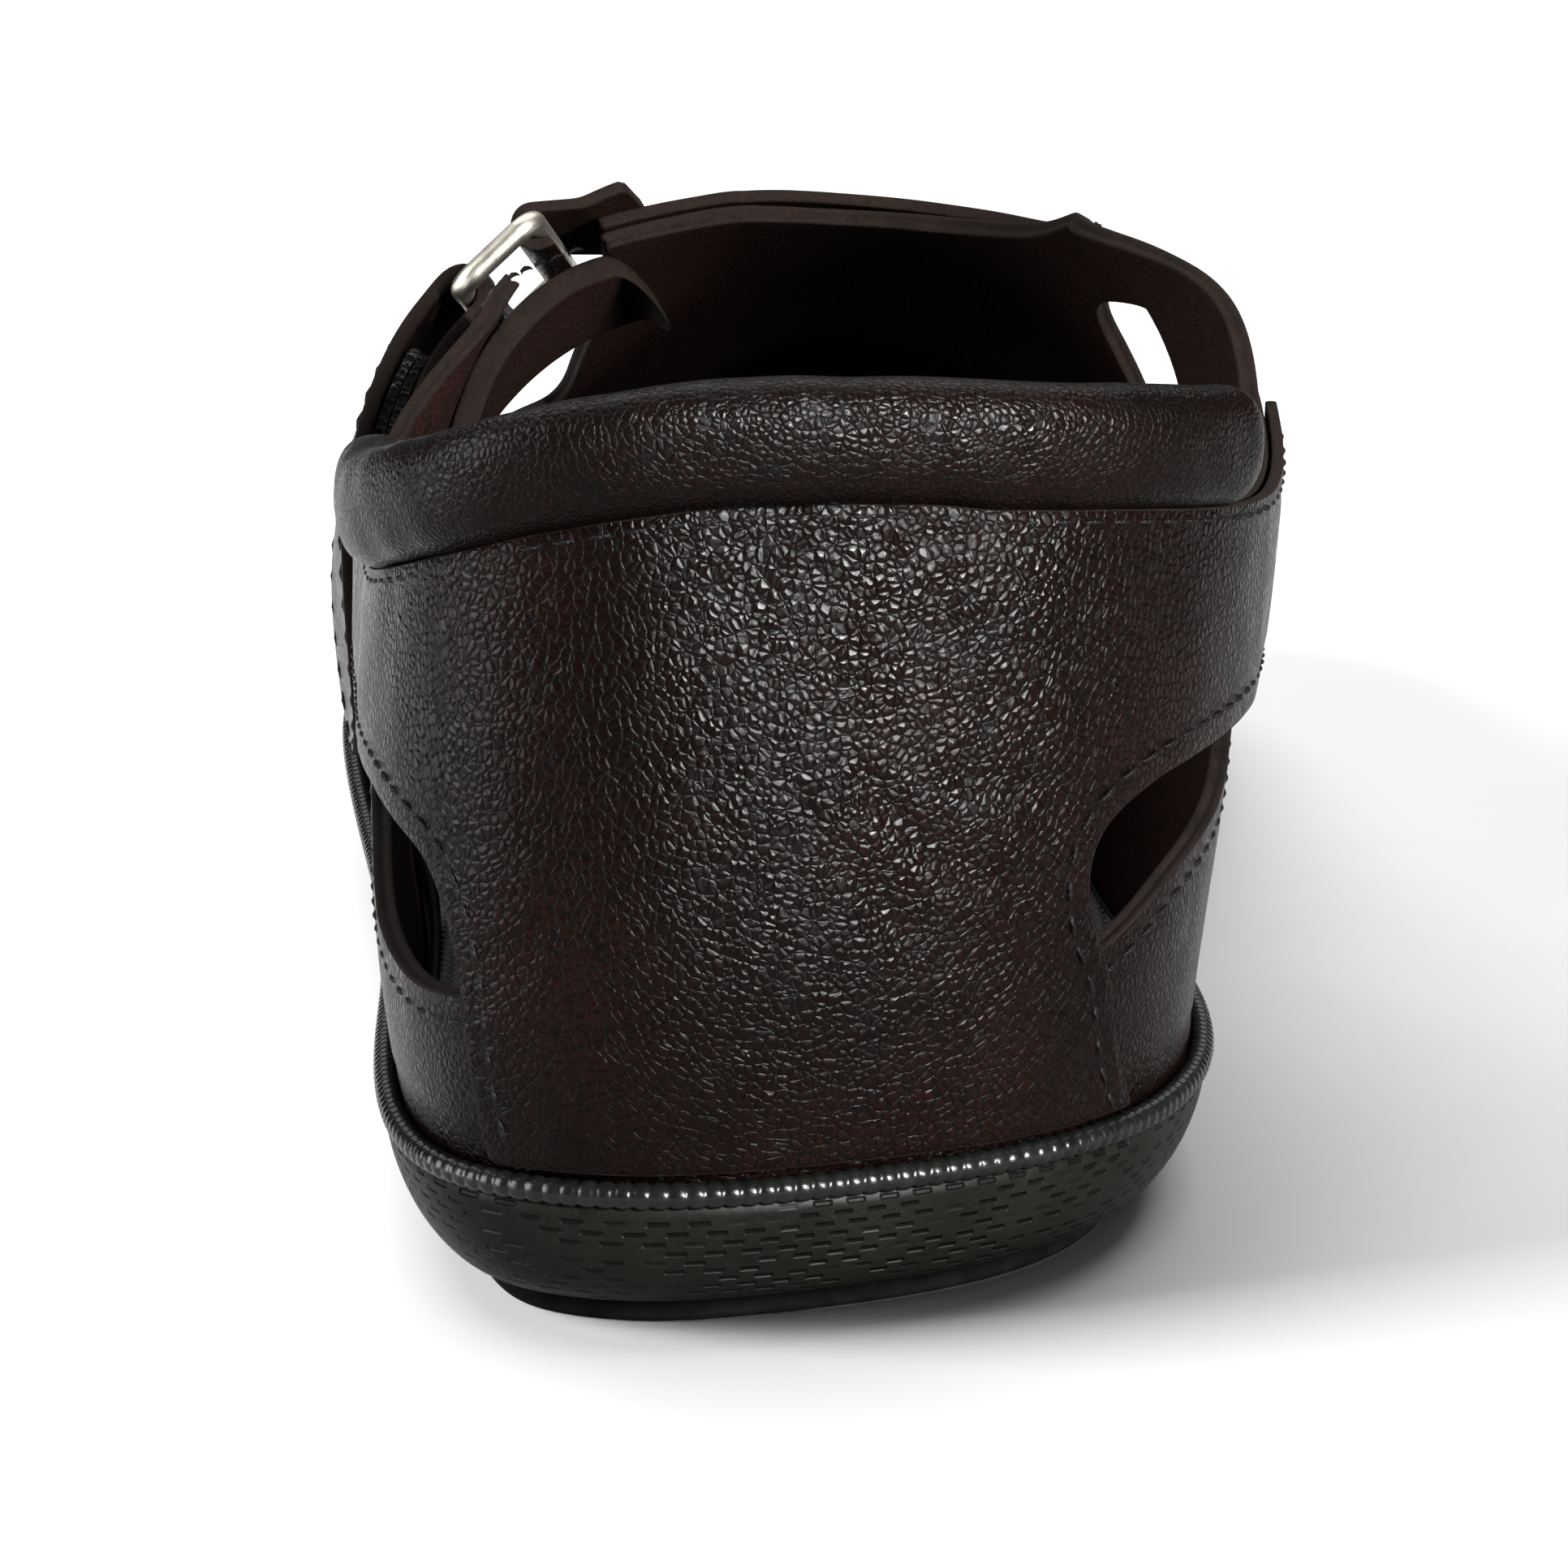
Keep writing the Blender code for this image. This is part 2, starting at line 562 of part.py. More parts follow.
def make_heel_piece(upper, parent):
    """Overlay round the heel, narrow at the sole and wide at the collar, over the windows."""
    across = np.linspace(-7.1, 7.1, HEEL_COLUMNS + 1)
    rise = np.linspace(0, 1, 9)
    stations = across[:, None] + 0 * rise
    heights = HEEL_PIECE_FOOT + (seam_v(across)[:, None] - HEEL_PIECE_FOOT) * rise
    points = LAST.at(stations, heights).reshape(-1, 3)
    normals = LAST.normal(stations, heights).reshape(-1, 3)
    solid = thick_sheet(points, normals, grid_faces(len(across), len(rise)), GAP + OVERLAY, GAP)
    piece = make_object("heel_piece", *solid, "leather", parent, flat=True)
    for name, side, heel_edge, low_edge in (
            ("lateral", -1, HEEL_EDGE_LATERAL, LOW_EDGE_LATERAL),
            ("medial", 1, HEEL_EDGE_MEDIAL, LOW_EDGE_MEDIAL)):
        cutter("cut_window_" + name, rear_window(heel_edge, low_edge), side, [upper], (4.5, 0.31))
        cutter("cut_under_heel_piece_" + name, under_heel_piece(heel_edge), side, [piece], (6.0, 0.15))
    weld_cuts(upper)
    weld_cuts(piece)
    return piece


def sweep(centres, across, lift, section):
    """Rings of a section, given as pairs along across and lift, at each centre."""
    return (centres[:, None] + across[:, None] * section[None, :, :1] + lift[:, None] * section[None, :, 1:])


def closed_sweep(rings):
    """Faces of a sweep with flat ends."""
    count, around = rings.shape[:2]
    faces = grid_faces(count, around, closed=True)
    faces.append(tuple(range(around)))
    faces.append(tuple(range((count - 1) * around, count * around)))
    return faces


def make_collar(parent):
    """Padded roll that sits on the heel piece and upper, with rounded ends."""
    stations = np.linspace(*COLLAR_ENDS, 39)
    seam = LAST.at(stations, seam_v(stations))
    out = LAST.outward(np.where(stations < 0, stations + 2 * LAST.ends, stations))
    centre = seam + out * ((GAP + OVERLAY - WALL) / 2 + COLLAR_LEAN)
    centre[:, 2] += GAP + COLLAR_HEIGHT / 2
    up = np.tile((0.0, 0.0, 1.0), (len(stations), 1))
    angle = np.linspace(0, 2 * np.pi, 14, endpoint=False) + np.pi / 14
    power = 0.75
    section = np.stack((np.sign(np.cos(angle)) * np.abs(np.cos(angle))**power * COLLAR_THICKNESS / 2,
                        np.sign(np.sin(angle)) * np.abs(np.sin(angle))**power * COLLAR_HEIGHT / 2), 1)
    rings = sweep(centre, out, up, section)
    shrink = np.ones(len(stations))
    shrink[[0, -1]] = 0.55
    shrink[[1, -2]] = 0.88
    rings = centre[:, None] + (rings - centre[:, None]) * shrink[:, None, None]
    return make_object("collar", rings.reshape(-1, 3), closed_sweep(rings), "leather", parent)


def make_panel(parent):
    """Instep panel: overlay across the instep, from the ring's tab to the medial band."""
    q = np.linspace(0, 1, 21)
    rear, front = line(PANEL_REAR, q), line(PANEL_FRONT, q)
    share = np.linspace(0, 1, 7)[None, :, None]
    chart = rear[:, None] * (1 - share) + front[:, None] * share
    points = over(chart[..., 0], chart[..., 1])
    normals = over(chart[..., 0], chart[..., 1], 1.0) - points
    solid = thick_sheet(points.reshape(-1, 3), normals.reshape(-1, 3), grid_faces(21, 7),
                        GAP + OVERLAY, GAP)
    return make_object("instep_panel", *solid, "leather", parent)


def unit(vector):
    """Vector of length one, also row by row."""
    return vector / np.linalg.norm(vector, axis=-1)[..., None]


def ring_frame():
    """Centre, long, short and lifted directions of the ring; short points over the foot."""
    station = np.array(-RING_STATION)
    v = np.array(RING_V)
    long = unit(LAST.at(station - 0.1, v) - LAST.at(station + 0.1, v))
    lift = LAST.normal(station, v)
    short = unit(np.cross(long, lift))
    if short[0] < 0:
        short = -short
    centre = LAST.off(station, v, np.array(RING_LIFT))
    return centre, long, short, lift


def make_ring(parent):
    """Rounded loop of wire that the strap passes through."""
    centre, long, short, lift = ring_frame()
    corner = RING_CORNER
    half_long, half_short = RING_LENGTH / 2 - corner, RING_REACH / 2 + RING_WIRE - corner
    path, outs = [], []
    for turn, (a, b) in enumerate(((1, 1), (-1, 1), (-1, -1), (1, -1))):
        for step in range(6):
            angle = (turn + step / 5) * np.pi / 2
            outward = long * np.cos(angle) + short * np.sin(angle)
            path.append(centre + long * a * half_long + short * b * half_short + outward * corner)
            outs.append(outward)
    path, outs = np.array(path), np.array(outs)
    angle = np.linspace(0, 2 * np.pi, 8, endpoint=False)
    section = np.stack((np.cos(angle), np.sin(angle)), 1) * RING_WIRE
    rings = sweep(path, outs, np.tile(lift, (len(path), 1)), section)
    faces = grid_faces(len(path), 8, closed=True)
    last = (len(path) - 1) * 8
    faces += [(last + j, last + (j + 1) % 8, (j + 1) % 8, j) for j in range(8)]
    return make_object("ring", rings.reshape(-1, 3), faces, "metal", parent)


def strip(name, points, normals, thickness, finish, parent):
    """Flat strip from rows of points on its middle, with the direction of its thickness at each."""
    half = normals * thickness / 2
    rings = np.concatenate((points - half, (points + half)[:, ::-1]), 1)
    return make_object(name, rings.reshape(-1, 3), closed_sweep(rings), finish, parent)


def walk(station, v, direction, distance, steps=4):
    """Chart points reached by going a distance in a direction over the last."""
    for _ in range(steps):
        here = LAST.at(station, v)
        by_station = (LAST.at(station + 0.01, v) - here) / 0.01
        by_v = (LAST.at(station, v + 0.002) - here) / 0.002
        normal = unit(np.cross(by_station, by_v))
        flat = unit(direction - normal * np.sum(normal * direction, -1)[..., None])
        ss, sv, vv = (np.sum(a * b, -1) for a, b in ((by_station, by_station), (by_station, by_v),
                                                     (by_v, by_v)))
        ds, dv = np.sum(flat * by_station, -1), np.sum(flat * by_v, -1)
        scale = distance / steps / (ss * vv - sv * sv)
        station = station + (vv * ds - sv * dv) * scale
        v = v + (ss * dv - sv * ds) * scale
    return station, v


def chart_strip(table, distance, half, direction, start=0.0, end=1.0, side=-1, step=0.05):
    """Rows of points and normals over part of a chart line, across it by half to both sides."""
    count = int(round(abs(end - start) / step)) + 1
    fine = line(table, np.linspace(start, end, count))
    across = np.linspace(-1, 1, STRIP_POINTS) * np.broadcast_to(half, (count,))[:, None]
    station = np.repeat(fine[:, :1] * side, STRIP_POINTS, 1)
    station, v = walk(station, np.repeat(fine[:, 1:], STRIP_POINTS, 1), direction, across)
    away = np.broadcast_to(distance, (count,))[:, None] * np.ones(STRIP_POINTS)
    return LAST.off(station, v, away), LAST.normal(station, v)


def bar_points(inner_side):
    """Centre of the ring's bar on the strap's side or on the foot's side."""
    centre, _, short, _ = ring_frame()
    return centre + short * (RING_REACH / 2 + RING_WIRE) * (1 if inner_side else -1)


def arc_strip(centre, first, second, radius, start, end, count, half):
    """Rows of points and outward normals round a bar, angles in degrees from first to second."""
    angle = np.radians(np.linspace(start, end, count))[:, None, None]
    radial = first * np.cos(angle) + second * np.sin(angle) + np.zeros((1, STRIP_POINTS, 1))
    across = ring_frame()[1] * np.linspace(-1, 1, STRIP_POINTS)[:, None] * half
    return centre + radial * radius + across, radial


def make_strap(parent):
    """Closure strap: up the lateral band, through the ring and folded back down outside."""
    _, long, short, lift = ring_frame()
    radius = RING_WIRE + GAP + STRAP_THICKNESS / 2
    half = STRAP_WIDTH / 2
    rest = GAP + STRAP_SAG + STRAP_THICKNESS / 2
    inner, inner_out = chart_strip(STRAP_LINE, rest, half, long, 0.6, 0.95)
    fold, fold_out = arc_strip(bar_points(False), short, lift, radius, -90, 95, 8, half)
    stack = STRAP_SAG + 2 * STRAP_THICKNESS + 2 * PAD_THICKNESS + 4 * GAP
    share = np.linspace(1, 0, 21)
    ease = np.clip(share / 0.58, 0, 1)
    ease = ease * ease * (3 - 2 * ease)
    low = GAP + STRAP_THICKNESS / 2 + STRAP_DROOP
    away = low + (stack - STRAP_THICKNESS / 2 - low) * ease
    taper = np.ones(21)
    taper[-1], taper[-2] = 0.62, 0.93
    outer, outer_out = chart_strip(STRAP_LINE, away, half * taper, long, 1.0, 0.0)
    points = np.concatenate((inner, fold, outer))
    normals = np.concatenate((inner_out, -fold_out, -outer_out))
    return strip("closure_strap", points, normals, STRAP_THICKNESS, "leather", parent)


def make_fastener_pads(parent):
    """Loop pad on the strap's rising run and hook pad on its folded run."""
    long = ring_frame()[1]
    low = GAP + STRAP_SAG + STRAP_THICKNESS + GAP + PAD_THICKNESS / 2
    for name, distance in (("loop_pad", low), ("hook_pad", low + PAD_THICKNESS + GAP)):
        rows = chart_strip(STRAP_LINE, distance, PAD_WIDTH / 2, long, 0.65, 0.90)
        strip(name, *rows, PAD_THICKNESS, "hook", parent)


def make_ring_tab(parent):
    """Leather loop that holds the ring on the end of the instep panel."""
    _, long, short, lift = ring_frame()
    half = TAB_WIDTH / 2
    rest = GAP + OVERLAY + GAP + TAB_THICKNESS / 2
    top, top_out = chart_strip(TAB_LINE, rest, half, long, step=0.25)
    turn, turn_out = arc_strip(bar_points(True), lift, -short, RING_WIRE + GAP + TAB_THICKNESS / 2,
                               -12, 180, 8, half)
    points, normals = np.concatenate((top, turn)), np.concatenate((top_out, turn_out))
    return strip("ring_tab", points, normals, TAB_THICKNESS, "leather", parent)


def make_flap(parent):
    """Underlay behind the ring: a soft flap from the lateral band up under the instep panel."""
    taper = np.ones(21)
    taper[-1], taper[-2] = 0.70, 0.93
    droop = np.clip(np.linspace(-4.2, 1, 21), 0, 1)**2
    away = -(WALL + GAP + FLAP_THICKNESS / 2) - droop * FLAP_DROOP
    rows = chart_strip(FLAP_PATH, away, FLAP_WIDTH / 2 * taper, ring_frame()[1])
    return strip("underlay_flap", *rows, FLAP_THICKNESS, "leather", parent)


def outline_ring(stations, out, height):
    """Ring round the shoe at a distance outside the feather line; height from 0 floor to 1 feather."""
    knot = np.where(stations < 0, stations + 2 * LAST.ends, stations)
    ring = LAST.base(knot) + LAST.outward(knot) * out
    under = floor_rise(ring[:, 1])
    top = LAST.base(knot)[:, 2]
    ring[:, 2] = under + height * (top - under)
    return ring


def cap_faces(start, half, flip):
    """Quads from side to side that close a ring of 2 * half points which starts at the toe."""
    total = 2 * half
    faces = []
    for i in range(half):
        a, b = start + i, start + i + 1
        c, d = start + (total - i - 1) % total, start + (total - i) % total
        face = (a, b, c, d)
        face = tuple(dict.fromkeys(face))
        faces.append(face[::-1] if flip else face)
    return faces


def sole_stations():
    """Stations round the sole, lateral toe to medial toe, twice SOLE_STATIONS of them."""
    half = np.linspace(0, LAST.ends, SOLE_STATIONS + 1)
    return np.concatenate((-half[::-1][:-1], half[:-1]))


def ring_solid(name, rings, finish, parent):
    """Solid from rings stacked bottom to top, closed from side to side at both ends."""
    count = rings[0].shape[0]
    faces = grid_faces(len(rings), count, closed=True)
    faces += cap_faces(0, count // 2, True)
    faces += cap_faces((len(rings) - 1) * count, count // 2, False)
    return make_object(name, np.concatenate(rings), faces, finish, parent)


def make_midsole(parent):
    """Sole body with its rolled side and the bead along its top edge."""
    stations = sole_stations()
    rings = [outline_ring(stations, out * SOLE_MARGIN / 0.0024, height) for _, out, height in HULL]
    return ring_solid("midsole", rings, "sole", parent)


def make_outsole(parent):
    """Tread pad under the sole, set in from its edge."""
    stations = sole_stations()
    rings = []
    for inset, height in ((OUTSOLE_INSET, 0.0), (OUTSOLE_INSET - 0.0008, OUTSOLE_THICKNESS * 0.3),
                          (OUTSOLE_INSET - 0.0008, OUTSOLE_THICKNESS)):
        ring = outline_ring(stations, -inset, 0.0)
        ring[:, 2] += height
        rings.append(ring)
    hull = outline_ring(stations, -OUTSOLE_INSET, HULL[0][2])
    rings[-1][:, 2] = hull[:, 2] - GAP
    return ring_solid("outsole", rings, "tread", parent)


def make_insole(parent):
    """Footbed inside the upper's feather edge."""
    stations = sole_stations()
    rings = []
    for rise in (0.0, INSOLE_THICKNESS):
        ring = outline_ring(stations, -(WALL + 2 * GAP + 0.0002), HULL[-1][2])
        ring[:, 2] += GAP + rise
        rings.append(ring)
    return ring_solid("insole", rings, "lining", parent)


def centre_on_floor(parent):
    """Moves the shoe so that the middle of its box is over the origin and it stands on z = 0."""
    low, high = np.full(3, 1e9), np.full(3, -1e9)
    for made in bpy.data.objects:
        if made.type == "MESH" and not made.hide_render:
            points = np.array([vertex.co[:] for vertex in made.data.vertices])
            low, high = np.minimum(low, points.min(0)), np.maximum(high, points.max(0))
    parent.location = (-(low[0] + high[0]) / 2, -(low[1] + high[1]) / 2, -low[2])


def main():
    """Builds the shoe."""
    for made in list(bpy.data.objects):
        bpy.data.objects.remove(made, do_unlink=True)
    shoe = bpy.data.objects.new("shoe", None)
    bpy.context.collection.objects.link(shoe)
    upper = make_upper(shoe)
    make_heel_piece(upper, shoe)
    make_collar(shoe)
    make_panel(shoe)
    make_ring(shoe)
    make_ring_tab(shoe)
    make_strap(shoe)
    make_fastener_pads(shoe)
    make_flap(shoe)
    make_midsole(shoe)
    make_outsole(shoe)
    make_insole(shoe)
    centre_on_floor(shoe)
    bpy.context.view_layer.update()


if __name__ == "__main__":
    main()
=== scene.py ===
"""Looks of the left closed-heel sandal: leather sheets, stitching, sole and studio.

Every leather piece lies on one surface, the last. Its chart has two coordinates: the station runs from
the lateral toe (negative) round the heel (0) to the medial toe (positive), and v runs from the feather
line (0) up and over to the ridge of the foot (1). Lengths are metres.
"""
import logging
from dataclasses import dataclass, field
from enum import Enum

import bpy
import numpy as np
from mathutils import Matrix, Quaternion, Vector
from mathutils.geometry import delaunay_2d_cdt


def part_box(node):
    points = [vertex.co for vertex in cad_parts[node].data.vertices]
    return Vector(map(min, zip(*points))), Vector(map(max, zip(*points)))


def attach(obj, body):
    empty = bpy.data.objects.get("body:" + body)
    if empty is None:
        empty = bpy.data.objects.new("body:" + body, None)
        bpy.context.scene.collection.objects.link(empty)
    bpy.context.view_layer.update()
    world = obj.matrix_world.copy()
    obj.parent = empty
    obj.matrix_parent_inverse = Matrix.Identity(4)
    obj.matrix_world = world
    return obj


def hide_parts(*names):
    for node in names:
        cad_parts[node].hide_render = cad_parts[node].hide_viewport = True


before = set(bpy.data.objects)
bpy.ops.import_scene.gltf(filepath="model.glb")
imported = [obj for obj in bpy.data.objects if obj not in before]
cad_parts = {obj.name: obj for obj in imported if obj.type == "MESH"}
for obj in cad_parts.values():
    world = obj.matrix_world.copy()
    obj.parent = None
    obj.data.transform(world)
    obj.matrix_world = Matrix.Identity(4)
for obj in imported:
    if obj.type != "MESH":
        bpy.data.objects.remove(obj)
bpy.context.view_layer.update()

Array = np.ndarray
Table = tuple[tuple[float, ...], ...]
Colour = tuple[float, float, float]
Socket = bpy.types.NodeSocket
LOG = logging.getLogger("sandal")

# Sizes of the shoe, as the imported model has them: metres, and for SPRING_START a share of the length
LENGTH = 0.280
BALL_WIDTH = 0.0985
INSTEP_HEIGHT = 0.088
WALL = 0.0020
OVERLAY = 0.0013
GAP = 0.0003
TOE_SPRING = 0.0080
ARCH_RISE = 0.0015
SPRING_START = 0.66
SOLE_MARGIN = 0.0024
OUTSOLE_THICKNESS = 0.0026
OUTSOLE_INSET = 0.0070
INSOLE_THICKNESS = 0.0025
COLLAR_HEIGHT = 0.0112
COLLAR_THICKNESS = 0.0078
COLLAR_LEAN = 0.0007
STRAP_WIDTH = 0.0245
STRAP_THICKNESS = 0.0016
PAD_THICKNESS = 0.0009
PAD_WIDTH = 0.0200
RING_WIRE = 0.0012
RING_LENGTH = 0.0300
RING_REACH = 0.0078
RING_CORNER = 0.0022
TAB_THICKNESS = 0.0013
TAB_WIDTH = 0.0235
FLAP_THICKNESS = 0.0026
FLAP_WIDTH = 0.0230
FLAP_DROOP = 0.0040
STRAP_DROOP = 0.0013
STRAP_SAG = 0.0005

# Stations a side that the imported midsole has
SOLE_STATIONS = 34

# Threads: how far their middle lies under the leather's face, and the groove that they pull, with its
# depth in metres and half its width in millimetres. ROLL_OFF has the depth in metres by which leather
# falls at a cut edge and the millimetres over which that fades
THREAD_SINK = 0.0001
GROOVE = (0.00016, 0.8)
ROLL_OFF = (0.00012, 0.7)

# Millimetres for one station and for one v
CHART = np.array((17.0, 75.0))

# Points that are compared with a loop at a time
CHUNK = 4000

# Feather line. Columns: row, lateral x, lateral y, medial x, medial y, height
# (x in ball widths, y in lengths, height in instep heights)
FEATHER = (
    ("heel_back", -0.071, 0.0086, -0.071, 0.0086, 0.170),
    ("heel_1", -0.162, 0.0071, 0.026, 0.0179, 0.170),
    ("heel_2", -0.252, 0.0175, 0.130, 0.0329, 0.170),
    ("heel_3", -0.321, 0.0421, 0.229, 0.0557, 0.169),
    ("heel_4", -0.361, 0.0857, 0.313, 0.0907, 0.167),
    ("heel_5", -0.378, 0.1393, 0.368, 0.1393, 0.164),
    ("heel_6", -0.384, 0.1964, 0.390, 0.1946, 0.160),
    ("waist_1", -0.386, 0.2554, 0.388, 0.2536, 0.157),
    ("waist_2", -0.391, 0.3143, 0.370, 0.3143, 0.155),
    ("waist_3", -0.402, 0.3714, 0.355, 0.3714, 0.155),
    ("waist_4", -0.420, 0.4321, 0.357, 0.4321, 0.157),
    ("joint_1", -0.441, 0.5000, 0.382, 0.5000, 0.161),
    ("joint_2", -0.461, 0.5714, 0.426, 0.5714, 0.168),
    ("ball_1", -0.473, 0.6429, 0.473, 0.6429, 0.177),
    ("ball_2", -0.467, 0.7143, 0.502, 0.7143, 0.191),
    ("toe_1", -0.443, 0.7857, 0.504, 0.7821, 0.207),
    ("toe_2", -0.394, 0.8525, 0.482, 0.8489, 0.225),
    ("toe_3", -0.304, 0.9135, 0.413, 0.9105, 0.242),
    ("toe_4", -0.154, 0.9600, 0.276, 0.9590, 0.256),
    ("toe_tip", 0.060, 0.9779, 0.060, 0.9779, 0.261),
)

# Wall of the last. Columns: row, lateral bulge, rise and shoulder, medial bulge, rise and shoulder
# (bulge and shoulder in ball widths, rise in instep heights)
WALLS = (
    ("heel_back", 0.046, 0.295, 0.025, 0.046, 0.295, 0.025),
    ("heel_1", 0.049, 0.295, 0.030, 0.047, 0.295, 0.030),
    ("heel_2", 0.050, 0.290, 0.030, 0.047, 0.295, 0.038),
    ("heel_3", 0.050, 0.280, 0.022, 0.044, 0.295, 0.048),
    ("heel_4", 0.052, 0.265, 0.010, 0.034, 0.295, 0.062),
    ("heel_5", 0.058, 0.255, 0.000, 0.024, 0.295, 0.077),
    ("heel_6", 0.060, 0.250, -0.004, 0.022, 0.295, 0.087),
    ("waist_1", 0.056, 0.270, 0.020, 0.040, 0.305, 0.092),
    ("waist_2", 0.052, 0.320, 0.120, 0.084, 0.345, 0.240),
    ("waist_3", 0.050, 0.375, 0.335, 0.124, 0.430, 0.600),
    ("waist_4", 0.052, 0.350, 0.315, 0.130, 0.410, 0.565),
    ("joint_1", 0.058, 0.305, 0.265, 0.118, 0.365, 0.500),
    ("joint_2", 0.060, 0.250, 0.262, 0.090, 0.305, 0.445),
    ("ball_1", 0.055, 0.216, 0.274, 0.061, 0.250, 0.396),
    ("ball_2", 0.046, 0.182, 0.294, 0.043, 0.205, 0.355),
    ("toe_1", 0.041, 0.153, 0.274, 0.037, 0.170, 0.315),
    ("toe_2", 0.036, 0.136, 0.244, 0.033, 0.148, 0.274),
    ("toe_3", 0.032, 0.125, 0.223, 0.031, 0.131, 0.239),
    ("toe_4", 0.030, 0.118, 0.208, 0.030, 0.120, 0.213),
    ("toe_tip", 0.030, 0.116, 0.203, 0.030, 0.116, 0.203),
)

# Top of the last behind the instep. Columns: row, lateral inset, medial inset, height, shoulder drop
# (insets in ball widths, height and drop in instep heights)
TOPS = (
    ("heel_back", 0.071, 0.071, 1.080, 0.295),
    ("heel_1", 0.069, 0.069, 1.080, 0.295),
    ("heel_2", 0.061, 0.061, 1.080, 0.295),
    ("heel_3", 0.045, 0.041, 1.085, 0.295),
    ("heel_4", 0.026, 0.016, 1.091, 0.295),
    ("heel_5", 0.014, -0.010, 1.102, 0.295),
    ("heel_6", 0.006, -0.030, 1.114, 0.295),
    ("waist_1", 0.002, -0.043, 1.125, 0.273),
    ("waist_2", 0.117, 0.085, 1.119, 0.165),
)

# Ridge of the foot. Columns: row, x in ball widths, y in lengths, height in instep heights, tilt
RIDGE = (
    ("waist_3", -0.030, 0.3732, 1.051, 0.02),
    ("waist_4", -0.036, 0.4321, 0.989, 0.04),
    ("joint_1", -0.030, 0.5000, 0.898, 0.07),
    ("joint_2", -0.020, 0.5714, 0.790, 0.07),
    ("ball_1", -0.005, 0.6429, 0.682, 0.06),
    ("ball_2", 0.010, 0.7107, 0.597, 0.04),
    ("toe_1", 0.025, 0.7679, 0.540, 0.02),
    ("toe_2", 0.036, 0.8107, 0.506, 0.01),
    ("toe_3", 0.043, 0.8411, 0.484, 0.00),
    ("toe_4", 0.048, 0.8607, 0.470, 0.00),
    ("toe_tip", 0.051, 0.8714, 0.464, 0.00),
)

# Cut lines on the last. Columns: station, v
SEAM = (
    (-7.2, 0.575), (-6.0, 0.588), (-5.0, 0.603), (-4.4, 0.620), (-3.2, 0.672), (-2.5, 0.700),
    (-1.9, 0.720), (-1.0, 0.738), (0.0, 0.748), (1.0, 0.747), (1.9, 0.739), (2.5, 0.726),
    (3.5, 0.706), (4.5, 0.674), (5.5, 0.646), (6.5, 0.643), (7.2, 0.660),
)
COLLAR_ENDS = (-5.7, 4.9)
THROAT_LATERAL = (
    (7.2, 0.575), (7.9, 0.578), (8.7, 0.610), (9.4, 0.670), (10.0, 0.740), (10.4, 0.810),
    (10.62, 0.880), (10.7, 0.940), (10.7, 1.0),
)
THROAT_MEDIAL = (
    (7.2, 0.660), (7.4, 0.698), (7.7, 0.728), (8.2, 0.742), (8.9, 0.740), (9.7, 0.742),
    (10.3, 0.765), (10.72, 0.815), (10.86, 0.875), (10.85, 0.935), (10.7, 1.0),
)
HEEL_EDGE_LATERAL = (
    (2.05, -0.06), (2.30, 0.06), (2.42, 0.20), (2.48, 0.25), (2.60, 0.30), (2.75, 0.335),
    (3.0, 0.365), (3.5, 0.388), (4.0, 0.402), (4.6, 0.408), (5.4, 0.405), (6.2, 0.398),
    (7.0, 0.385), (7.8, 0.370),
)
HEEL_EDGE_MEDIAL = (
    (3.95, -0.06), (3.72, 0.03), (3.49, 0.10), (3.35, 0.185), (3.20, 0.24), (3.12, 0.28),
    (3.12, 0.32), (3.22, 0.355), (3.45, 0.383), (3.8, 0.403), (4.3, 0.413), (5.2, 0.415),
    (6.2, 0.408), (7.0, 0.390), (7.8, 0.370),
)
LOW_EDGE_LATERAL = (
    (2.43, 0.205), (3.1, 0.200), (3.6, 0.203), (4.12, 0.213), (5.0, 0.235), (5.7, 0.265),
    (6.2, 0.300), (6.6, 0.345), (6.8, 0.388),
)
LOW_EDGE_MEDIAL = (
    (3.29, 0.208), (3.55, 0.222), (3.9, 0.245), (4.3, 0.270), (4.9, 0.292), (5.6, 0.312),
    (6.2, 0.338), (6.6, 0.365), (6.8, 0.394),
)
GAP_LATERAL = (
    (9.25, 0.74), (9.36, 0.665), (9.72, 0.618), (10.18, 0.590), (10.58, 0.550), (10.50, 0.475),
    (10.35, 0.400), (10.28, 0.300), (10.42, 0.215), (10.78, 0.170), (11.15, 0.205), (11.45, 0.290),
    (11.75, 0.390), (12.10, 0.490), (12.52, 0.590), (12.88, 0.665), (12.62, 0.708), (12.05, 0.738),
    (11.4, 0.775), (10.7, 0.800), (10.2, 0.815), (9.80, 0.830), (9.50, 0.815),
)
GAP_MEDIAL = (
    (10.30, 0.634), (9.70, 0.613), (9.15, 0.588), (8.85, 0.545), (8.85, 0.460), (9.05, 0.360),
    (9.42, 0.265), (9.88, 0.205), (10.3, 0.170), (10.72, 0.205), (10.95, 0.290), (11.03, 0.390),
    (10.98, 0.490), (10.82, 0.600),
)
PANEL_REAR = (
    (-0.185, 10.42), (-0.13, 10.60), (-0.06, 10.71), (0.0, 10.72), (0.065, 10.85), (0.13, 10.90),
    (0.20, 10.76), (0.265, 10.32), (0.30, 9.80),
)
PANEL_FRONT = (
    (-0.205, 11.30), (-0.15, 11.80), (-0.07, 12.05), (0.0, 12.12), (0.075, 12.10), (0.15, 12.0),
    (0.225, 11.75), (0.295, 11.35), (0.335, 10.95),
)

